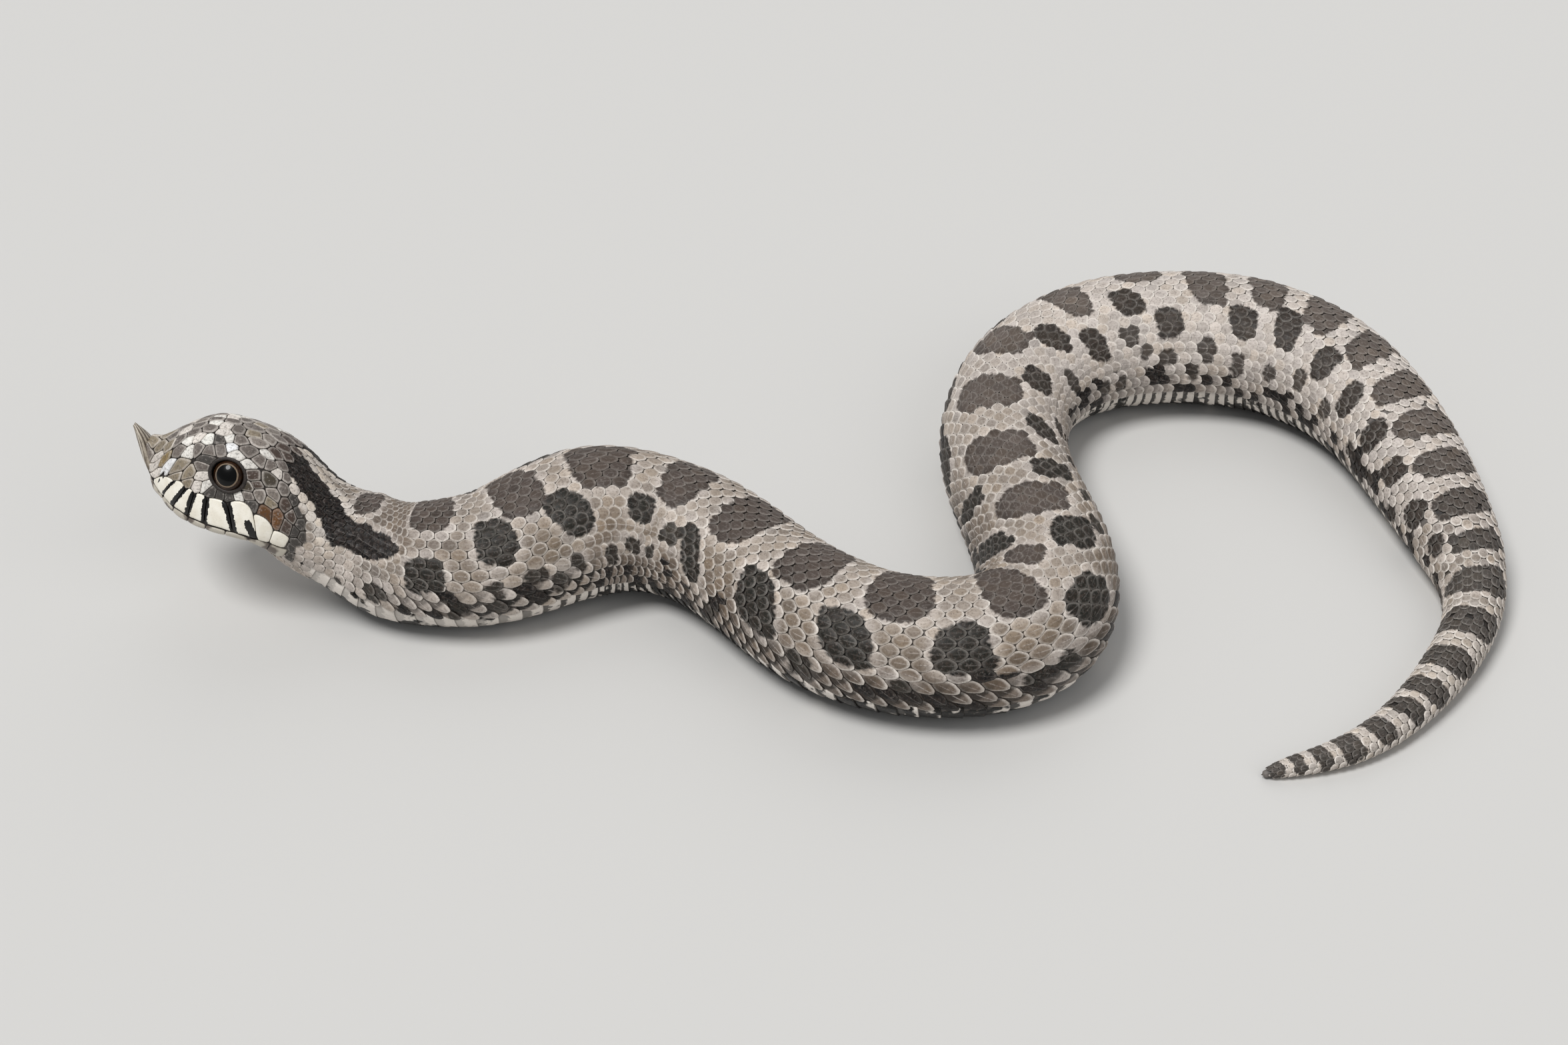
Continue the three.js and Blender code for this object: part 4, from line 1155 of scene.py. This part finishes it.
def make_plates(name, seeds, tones, others, lines, to_reach, span, material, rng):
    """Joined head plates: each a rounded cell, gently domed, its rim rounded down into the skin."""
    reach, dx, dy = plate_outlines(seeds, others, lines, to_reach)
    n = len(seeds)
    rings = PLATE_RINGS[None, :, None]
    x = (rings * (reach * dx)[:, None]).reshape(n, -1)
    y = (rings * (reach * dy)[:, None]).reshape(n, -1)
    r = np.tile(np.repeat(PLATE_RINGS, PLATE_DIRECTIONS), (n, 1))
    x, y, r = (np.pad(c, ((0, 0), (1, 1))) for c in (x, y, r))
    a, v = seeds[:, :1] + x, seeds[:, 1:2] + y
    size = np.clip(reach.mean(axis=1, keepdims=True), 0.3, 1.0)
    lift = (-0.02 + PLATE_DOME * size * (1 - r * r) - PLATE_RIM_DROP * fade(r, 0.9, 1.02)
            + rng.normal(0, 0.015, (n, 1)))
    lift[:, -1] = -0.5
    a = np.maximum(a, NOSE + 0.05)
    f = to_reach(a, v)
    points = on_body(a.ravel(), f.ravel(), lift.ravel())
    m = x.shape[1]
    turn = np.linspace(0, 2 * math.pi, PLATE_DIRECTIONS, endpoint=False)
    lie = np.tile(0.5 + 0.5 * unit_rings(PLATE_RINGS, turn), (n, 1))
    colour = np.array([TONES[t] for t in tones]) * rng.normal(1, 0.07, (n, 1))
    rims = np.array([PLATE_RIMS[t] for t in tones]) * rng.uniform(0.6, 1.3, n)
    bake = np.column_stack([on_map(a.ravel(), *span[:2]), on_map(v.ravel(), *span[2:])])
    quads, triangles = radial_faces(PLATE_DIRECTIONS, len(PLATE_RINGS))
    ob = mesh_object(name, points, repeat_faces(quads, m, n), repeat_faces(triangles, m, n),
                     uv_maps={"Lie": lie, "OFBake": bake},
                     values={"marking": np.repeat(np.clip(colour, 0.004, 0.9), m, axis=0),
                             "rim": np.repeat(rims, m), "keel": np.zeros(n * m),
                             "base": np.zeros(n * m)})
    finish_piece(ob, material)


def crown_plates(places, material, rng):
    """Plates of the crown, snout and cheeks, both sides."""
    seeds, tones = [], []
    for tone, rows in HEAD_PLATES.items():
        for a, v, *size in rows:
            for side in ((1, -1) if v else (1,)):
                stray = rng.normal(0, 0.12, 2) * (side < 0)
                seeds.append((a + stray[0], side * v + stray[1], size[0] if size else 1.0))
                tones.append(tone)
    neck = places[places[:, 0] < 25]
    others = np.column_stack([neck[:, 0], neck[:, 1] * half_girth(neck[:, 0]), np.full(len(neck), 0.9)])
    bows = [np.column_stack(lip_top(k, np.linspace(0, 1, 7))) for k in range(len(LIP_BOWS))]
    top = np.vstack([LIP_FRONT, *bows, LIP_CORNER])
    lines = [top + (0.0, -0.03), top * (1, -1) + (0.0, 0.03), nostril_ring(1), nostril_ring(-1)]
    make_plates("head_plates", np.array(seeds), tones, others, lines,
                lambda a, v: v / half_girth(np.maximum(a, 0)), (-0.5, 25, -14, 14), material, rng)


def nostril_ring(side):
    """Circle round a nostril, as station and round."""
    turn = np.linspace(0, 2 * math.pi, 13)
    return np.column_stack([NOSTRIL[0] + NOSTRIL_RADIUS * np.cos(turn),
                            side * (NOSTRIL[1] + NOSTRIL_RADIUS * np.sin(turn))])


def chin_plates(throat, material, rng):
    """Plates under the chin, placed by their distance from its middle line."""
    seeds = np.array([(a, side * w, size) for a, w, size in CHIN_PLATES
                      for side in ((1, -1) if w else (1,))])
    near = throat[throat[:, 0] < 20]
    w = (1 - np.abs(near[:, 1])) * half_girth(near[:, 0]) * np.sign(near[:, 1])
    others = np.column_stack([near[:, 0], w, np.full(len(near), 0.9)])
    a = np.linspace(JAW_SEAMS[0] + JAW_SLANT, 22, 30)
    beside_jaw = half_girth(a) - steady_curve(LIP_LINE, a) - JAW_BAND - 0.1
    edge = np.vstack([CHIN_FRONT, (JAW_SEAMS[0], 1.8), np.column_stack([a, beside_jaw])])
    lines = [edge, edge * (1, -1)]
    make_plates("chin_plates", seeds, ["cream"] * len(seeds), others, lines,
                lambda a, w: wrapped(1 - w / half_girth(np.maximum(a, 0))), (-0.5, 14, -8, 8),
                material, rng)


def lip_plate(front, rear, bow, side, columns, rows):
    """One lip plate as a grid: front and rear are seams (foot station, foot round, head station,
    head round); its upper edge is bowed, its corners rounded as |s|^8 + |t|^8 = 1."""
    s, t = np.meshgrid(columns, rows, indexing="ij")
    norm = (np.abs(s) ** 8 + np.abs(t) ** 8) ** (1 / 8)
    fit = np.maximum(np.abs(s), np.abs(t)) / np.maximum(norm, 1e-6)
    u, w = 0.5 + 0.5 * s * fit, 0.5 + 0.5 * t * fit
    foot_a = front[0] + (rear[0] - front[0]) * u
    foot_v = front[1] + (rear[1] - front[1]) * u
    rise = bow * (1 - (2 * u - 1) ** 2)
    head_a = front[2] + (rear[2] - front[2]) * u + 0.3 * rise
    head_v = front[3] + (rear[3] - front[3]) * u - rise
    a = foot_a + (head_a - foot_a) * w
    v = foot_v + (head_v - foot_v) * w
    r = np.clip(norm, 0, 1)
    return a.ravel(), side * v.ravel(), r.ravel()


def make_lips(material):
    """Plates of the upper lip and the lower jaw, both sides, with a thickness beneath."""
    columns = np.array([-1, -0.94, -0.82, -0.6, -0.3, 0, 0.3, 0.6, 0.82, 0.94, 1])
    rows = np.array([-1, -0.94, -0.8, -0.5, -0.2, 0.1, 0.4, 0.7, 0.86, 0.95, 1])
    rim = grid_rim(len(columns), len(rows))
    middle = len(columns) * len(rows) // 2
    m = len(columns) * len(rows) + 1
    quads = grid_quads(len(columns), len(rows))
    under = np.column_stack([rim, np.full_like(rim, m - 1), np.roll(rim, -1)])
    points, all_quads, all_triangles, bake, bars, jaw = [], [], [], [], [], []
    plates = []
    for k, bow in enumerate(LIP_BOWS):
        upper = [(foot + gap, steady_curve(LIP_LINE, foot) - LIP_CLEARANCE, head_a + gap, head_v)
                 for (foot, head_a, head_v), gap in zip(LIP_SEAMS[k:k + 2], (0.02, -0.02))]
        plates.append((*upper, bow, 0.0))
        slants = (JAW_SLANT if k == 0 else 0.0, 0.0)
        lower = [(a + gap + slant, steady_curve(LIP_LINE, a) + JAW_BAND + slant,
                  a + gap, steady_curve(LIP_LINE, a) + JAW_CLEARANCE)
                 for a, gap, slant in zip(JAW_SEAMS[k:k + 2], (0.03, -0.03), slants)]
        plates.append((*lower, 0.0, 1.0))
    for front, rear, bow, is_jaw in plates:
        for side in (1, -1):
            a, v, r = lip_plate(front, rear, bow, side, columns, rows)
            lift = -0.01 + 0.08 * (1 - r * r) - 0.14 * fade(r, 0.94, 1.01) - 0.12 * is_jaw
            a, v = np.append(a, a[middle]), np.append(v, v[middle])
            lift = np.append(lift, -0.6)
            points.append(on_body(a, v / half_girth(np.maximum(a, 0)), lift))
            base = m * len(all_quads)
            all_quads.append((quads if side < 0 else quads[:, ::-1]) + base)
            all_triangles.append((under if side < 0 else under[:, ::-1]) + base)
            bake.append(np.column_stack([on_map(a, -0.5, 22.5), 0.5 + 0.024 * v]))
            bars.append(bar_depth(a, np.abs(v)) - 9 * is_jaw)
            jaw.append(np.full(m, is_jaw))
    ob = mesh_object("lip_plates", np.vstack(points), np.vstack(all_quads), np.vstack(all_triangles),
                     uv_maps={"OFBake": np.vstack(bake)},
                     values={"bar": np.concatenate(bars), "jaw": np.concatenate(jaw)})
    finish_piece(ob, material)


def bar_depth(a, v):
    """Depth in mm inside the lip's dark bars: half the bar's width less the distance to its line."""
    depth = np.full(a.shape, -9.0)
    for x0, y0, x1, y1, wide in LIP_BARS:
        ex, ey = x1 - x0, y1 - y0
        part = np.clip(((a - x0) * ex + (v - y0) * ey) / (ex * ex + ey * ey), 0, 1)
        away = np.hypot(a - x0 - part * ex, v - y0 - part * ey)
        depth = np.maximum(depth, wide / 2 - away)
    return depth


# ---------- eyes and snout plate ----------
PUPIL_RADIUS, RING_RADIUS = 1.35, 1.50


def make_eye(name, node, side, material):
    """Eyeball: a ball flattened along its axis, x^2/R^2 + y^2/R^2 + z^2/b^2 = 1, closed at both
    poles. Its map holds the turn round the axis and the distance off it."""
    middle, behind, out, up = eye_frame(side)
    rings, around = 30, 72
    slope = np.linspace(0, math.pi, rings + 2)[1:-1]
    turn = np.linspace(0, 2 * math.pi, around, endpoint=False)
    s, u = np.meshgrid(slope, turn, indexing="ij")
    s, u = s.ravel(), u.ravel()
    around_axis = np.cos(u)[:, None] * behind + np.sin(u)[:, None] * up
    points = middle + EYE_RADIUS * np.sin(s)[:, None] * around_axis + EYE_BULGE * np.cos(s)[:, None] * out
    points = np.vstack([points, middle + EYE_BULGE * out, middle - EYE_BULGE * out])
    quads, caps = grid_quads(rings, around, closed=True), end_caps(rings, around)
    if side > 0:
        quads, caps = quads[:, ::-1], caps[:, ::-1]
    off = np.append(EYE_RADIUS * np.sin(s), [0, 0])
    ob = mesh_object(name, points, quads, caps,
                     values={"off_axis": off, "across": np.append(np.cos(u) * np.sin(s), [0, 0]),
                             "upward": np.append(np.sin(u) * np.sin(s), [0, 0])})
    finish_piece(ob, material)
    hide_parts(node)


def two_waves(u):
    """A level and the sines and cosines of the first two waves round a ring."""
    return np.column_stack([np.ones(len(u)), np.cos(u), np.sin(u), np.cos(2 * u), np.sin(2 * u)])


def make_eye_rims(material):
    """Soft fold of skin round each eye: a tube along the socket's oval rim, whose height over the
    eye's middle is the nearest surface's, smoothed to its first two waves round the eye, and a
    little more below the eye."""
    around, tube = 96, 14
    u = np.linspace(0, 2 * math.pi, around, endpoint=False)
    w = np.linspace(0, 2 * math.pi, tube, endpoint=False)
    points, quads = [], []
    for side in (1, -1):
        middle, behind, out, up = eye_frame(side)
        off_axis, high, turn = from_eye(FIELD.reshape(-1, 3), side)
        near = (np.abs(off_axis - SOCKET_RADIUS - 0.1) < 0.25) & (high > -1)
        fit = np.linalg.lstsq(two_waves(turn[near]), high[near], rcond=None)[0]
        level = two_waves(u) @ fit - 0.13 + 0.1 * (1 - np.sin(u))
        ring = np.cos(u)[:, None] * behind + SOCKET_SQUASH * np.sin(u)[:, None] * up
        radius = SOCKET_RADIUS + 0.02 + 0.26 * np.cos(w)
        height = level[:, None] + 0.2 * np.sin(w)[None]
        shape = middle + radius[None, :, None] * ring[:, None] + height[..., None] * out
        faces = grid_quads(around + 1, tube, closed=True)
        faces = np.where(faces >= around * tube, faces - around * tube, faces)
        quads.append((faces if side > 0 else faces[:, ::-1]) + len(points) * around * tube)
        points.append(shape.reshape(-1, 3))
    ob = mesh_object("eye_rims", np.vstack(points), np.vstack(quads),
                     values={"marking": np.tile(TONES["seam"], (2 * around * tube, 1))})
    finish_piece(ob, material)


# levels of the snout plate: height, half width, front, rear, sweep of the front edge
SNOUT_LEVELS = np.array([
    (-0.35, 1.2, 0.2, 1.3, 0.4), (0.9, 1.8, -0.65, 1.4, 0.8), (2.2, 2.25, -1.5, 0.9, 1.15),
    (3.4, 2.1, -2.2, -0.5, 1.3), (4.3, 1.6, -2.7, -1.5, 1.15), (4.9, 1.05, -3.0, -2.2, 0.8),
    (5.3, 0.5, -3.25, -2.8, 0.4), (5.5, 0.12, -3.35, -3.15, 0.1)])


def make_snout(material):
    """Upturned plate at the snout's tip: level loops, the front edge swept back as |v|^1.6 and
    the rear bowed as 1 - v^2, joined up the plate by splines and closed at both ends."""
    levels = np.linspace(0, 1, 34)
    knots = np.linspace(0, 1, len(SNOUT_LEVELS))
    z, wide, front, rear, sweep = smooth_curve(knots, SNOUT_LEVELS, levels).T[:, :, None]
    v = np.concatenate([np.sin(np.linspace(-math.pi / 2, math.pi / 2, 25)),
                        np.sin(np.linspace(math.pi / 2, -math.pi / 2, 17))[1:-1]])[None]
    is_front = np.arange(v.size)[None] < 25
    edge = front + sweep * np.abs(v) ** 1.6
    side_a = front + sweep
    a = np.where(is_front, edge, side_a + (rear - side_a) * (1 - v * v) * 0.96)
    high = z + np.where(is_front, 0, 0.5 * (1 - v * v))
    rows, columns = a.shape
    grids = np.broadcast_arrays(a, v * wide, high, v, levels[:, None])
    a, y, high, across, height = (grid.ravel() for grid in grids)
    back = directions(np.zeros(1))[0][0]
    points = head_point(np.zeros(a.size), y, high) + a[:, None] * back
    middles = points.reshape(rows, columns, 3)[[0, -1]].mean(axis=1)
    points = np.vstack([points, middles])
    ob = mesh_object("snout_plate", points, grid_quads(rows, columns, closed=True),
                     end_caps(rows, columns),
                     values={"across": np.append(across, [0, 0]), "height": np.append(height, [0, 1])})
    finish_piece(ob, material)
    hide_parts("rostral_scale")


def lip_material():
    """Lip plates: smooth cream keratin and black bars with ragged edges; the jaw's are duller."""
    n = Nodes("lip_keratin")
    rag = n.spot(2600.0, 2.0)
    fine = n.spot(5200.0, 3.0)
    colour = n.mix(n.between(n.spot(700.0, 2.0), 0.35, 0.7), "#f6f1e4", "#ebe4d4")
    colour = n.mix(n.math("MULTIPLY", n.between(fine, 0.54, 0.72), 0.14), colour, "tan")
    dark_jaw = n.math("MULTIPLY", n.between(n.spot(420.0, 2.0), 0.5, 0.6, 0.0, 0.85), n.number("jaw"))
    colour = n.mix(n.math("MULTIPLY", n.number("jaw"), 0.75), colour, "throat")
    colour = n.mix(dark_jaw, colour, "brown")
    ragged = n.math("MULTIPLY_ADD", n.math("SUBTRACT", rag, 0.5), 0.55, n.number("bar"))
    bar = n.between(ragged, -0.02, 0.03)
    colour = n.mix(bar, colour, "black")
    n.surface(base=colour, roughness=n.between(fine, 0.3, 0.7, 0.28, 0.4))
    n.bump(n.spot(4000.0, 2.0), 0.00002, 0.35)
    return n.material


def eye_material():
    """Round black pupil, a thin pale ring, and a dark brown iris streaked from the middle, under
    a clear wet coat."""
    n = Nodes("eye_under_clear_scale")
    off = n.number("off_axis")
    mottle = n.spot(2400.0, 3.0)
    iris = n.mix(n.between(mottle, 0.35, 0.7), "#20120a", "#382212")
    iris = n.mix(n.between(off, PUPIL_RADIUS + 0.35, EYE_RADIUS * 0.9), iris, "#0c0603")
    wobble = n.math("MULTIPLY_ADD", mottle, 0.12, off)
    ring = n.math("MULTIPLY", n.between(wobble, PUPIL_RADIUS + 0.02, PUPIL_RADIUS + 0.10),
                  n.between(wobble, RING_RADIUS + 0.12, RING_RADIUS + 0.02))
    iris = n.mix(n.math("MULTIPLY", ring, 0.8), iris, "#8c7b68")
    colour = n.mix(n.between(off, PUPIL_RADIUS + 0.02, PUPIL_RADIUS - 0.03), iris, "#010101")
    n.surface(base=colour, roughness=0.3, specular=0.1, coat=0.5, coat_ior=1.38, coat_roughness=0.03)
    return n.material


def snout_material():
    """Snout plate: pale grey-tan keratin with darker streaks running up it, and browner towards its foot.
    """
    n = Nodes("snout_keratin")
    across, height = n.number("across"), n.number("height")
    wave = n.math("SINE", n.math("MULTIPLY_ADD", n.spot(900.0, 2.0), 3.0, n.math("MULTIPLY", across, 15.0)))
    colour = n.mix(n.between(wave, -0.2, 0.9), "#8a8072", "#c2b8a8")
    colour = n.mix(n.between(wave, -0.55, -0.9, 0.0, 0.8), colour, "#3a3029")
    # browner towards the plate's foot
    colour = n.mix(n.between(height, 0.3, 0.0, 0.0, 0.6), colour, "brown")
    fine = n.spot(4200.0, 3.0, 0.6)
    colour = n.mix(n.between(fine, 0.5, 0.7, 0.0, 0.4), colour, "brown")
    n.surface(base=colour, roughness=n.between(fine, 0.3, 0.7, 0.38, 0.52))
    n.bump(n.math("MULTIPLY_ADD", wave, 0.4, fine), 0.00006, 0.6)
    return n.material


# ---------- putting it together ----------
BODY_SPANS = [("scales_neck", 0, 62), ("scales_front", 62, 112), ("scales_bend", 112, 160),
              ("scales_middle", 160, 205), ("scales_rear", 205, 252), ("scales_tail", 252, 309)]


def build():
    """All pieces of the snake; the random draws follow this order."""
    rng = np.random.default_rng(RANDOM_SEED)
    bare = skin_material()
    make_skin(bare)
    make_eye_rims(bare)
    keratin = scale_material("scale_keratin", "brown", 0.42, 0.48, 0.93, 0.12)
    plate = scale_material("head_plate_keratin", "slate", 0.55, 0.44, 0.955, 0.33)
    places = scale_places()
    for name, start, stop in BODY_SPANS:
        here = places[(places[:, 0] >= start) & (places[:, 0] < stop)]
        make_scales(name, here, (max(start, FIRST_ROW), stop), keratin, rng)
    small = under_tail_places()
    make_scales("scales_throat_and_tail", small, (12, 309), keratin, rng)
    make_scutes(scute_material(), rng)
    crown_plates(places, plate, rng)
    chin_plates(small, plate, rng)
    make_lips(lip_material())
    eye = eye_material()
    make_eye("eyeball_left", "eye_left", 1, eye)
    make_eye("eyeball_right", "eye_right", -1, eye)
    make_snout(snout_material())


# lights: where each stands, how wide it looks in degrees, and how strong it is
LIGHTS = {"key": ((-0.25, -0.15, 0.65), 24, 2.3), "fill": ((0.5, -0.4, 0.5), 50, 0.45),
          "back": ((0.1, 0.6, 0.5), 50, 0.45)}
FLOOR_REACH = 6  # metres
# the camera's aim on the floor and its distance, in metres, and how far it looks down
CAMERA_AIM, CAMERA_DISTANCE, CAMERA_DOWN = (-0.005, 0.004), 0.39, math.radians(40)


def floor_and_light():
    """Pale floor, a soft key from the upper left, weak fills and an even pale world."""
    scene = bpy.context.scene
    scene.view_settings.view_transform = "Standard"
    me = bpy.data.meshes.new("floor")
    corners = [(x * FLOOR_REACH, y * FLOOR_REACH, 0) for x, y in ((-1, -1), (1, -1), (1, 1), (-1, 1))]
    me.from_pydata(corners, [], [(0, 1, 2, 3)])
    floor = bpy.data.objects.new("floor", me)
    scene.collection.objects.link(floor)
    n = Nodes("pale_floor")
    n.surface(base=(0.61, 0.60, 0.58, 1), roughness=0.8)
    me.materials.append(n.material)
    for name, (place, softness, strength) in LIGHTS.items():
        light = bpy.data.lights.new(name, "SUN")
        light.angle = math.radians(softness)
        light.energy = strength
        ob = bpy.data.objects.new(name, light)
        ob.location = place
        ob.visible_glossy = name == "key"
        aim = -np.array(place)
        ob.rotation_euler = (math.atan2(math.hypot(aim[0], aim[1]), -aim[2]), 0,
                             math.atan2(aim[1], aim[0]) - math.pi / 2)
        scene.collection.objects.link(ob)
    world = bpy.data.worlds.new("studio")
    world.use_nodes = True
    background = world.node_tree.nodes["Background"]
    background.inputs["Color"].default_value = (0.95, 0.97, 1.0, 1)
    background.inputs["Strength"].default_value = 0.3
    scene.world = world


def camera():
    """The view from above the snake's left side, looking down by forty degrees."""
    data = bpy.data.cameras.new("camera")
    data.sensor_width = 36.0
    data.lens = 67.18
    ob = bpy.data.objects.new("camera", data)
    ob.location = (CAMERA_AIM[0], CAMERA_AIM[1] - CAMERA_DISTANCE * math.cos(CAMERA_DOWN),
                   CAMERA_DISTANCE * math.sin(CAMERA_DOWN))
    ob.rotation_euler = (math.pi / 2 - CAMERA_DOWN, 0, 0)
    data.clip_start = 0.01
    bpy.context.scene.collection.objects.link(ob)
    bpy.context.scene.camera = ob


build()
floor_and_light()
camera()
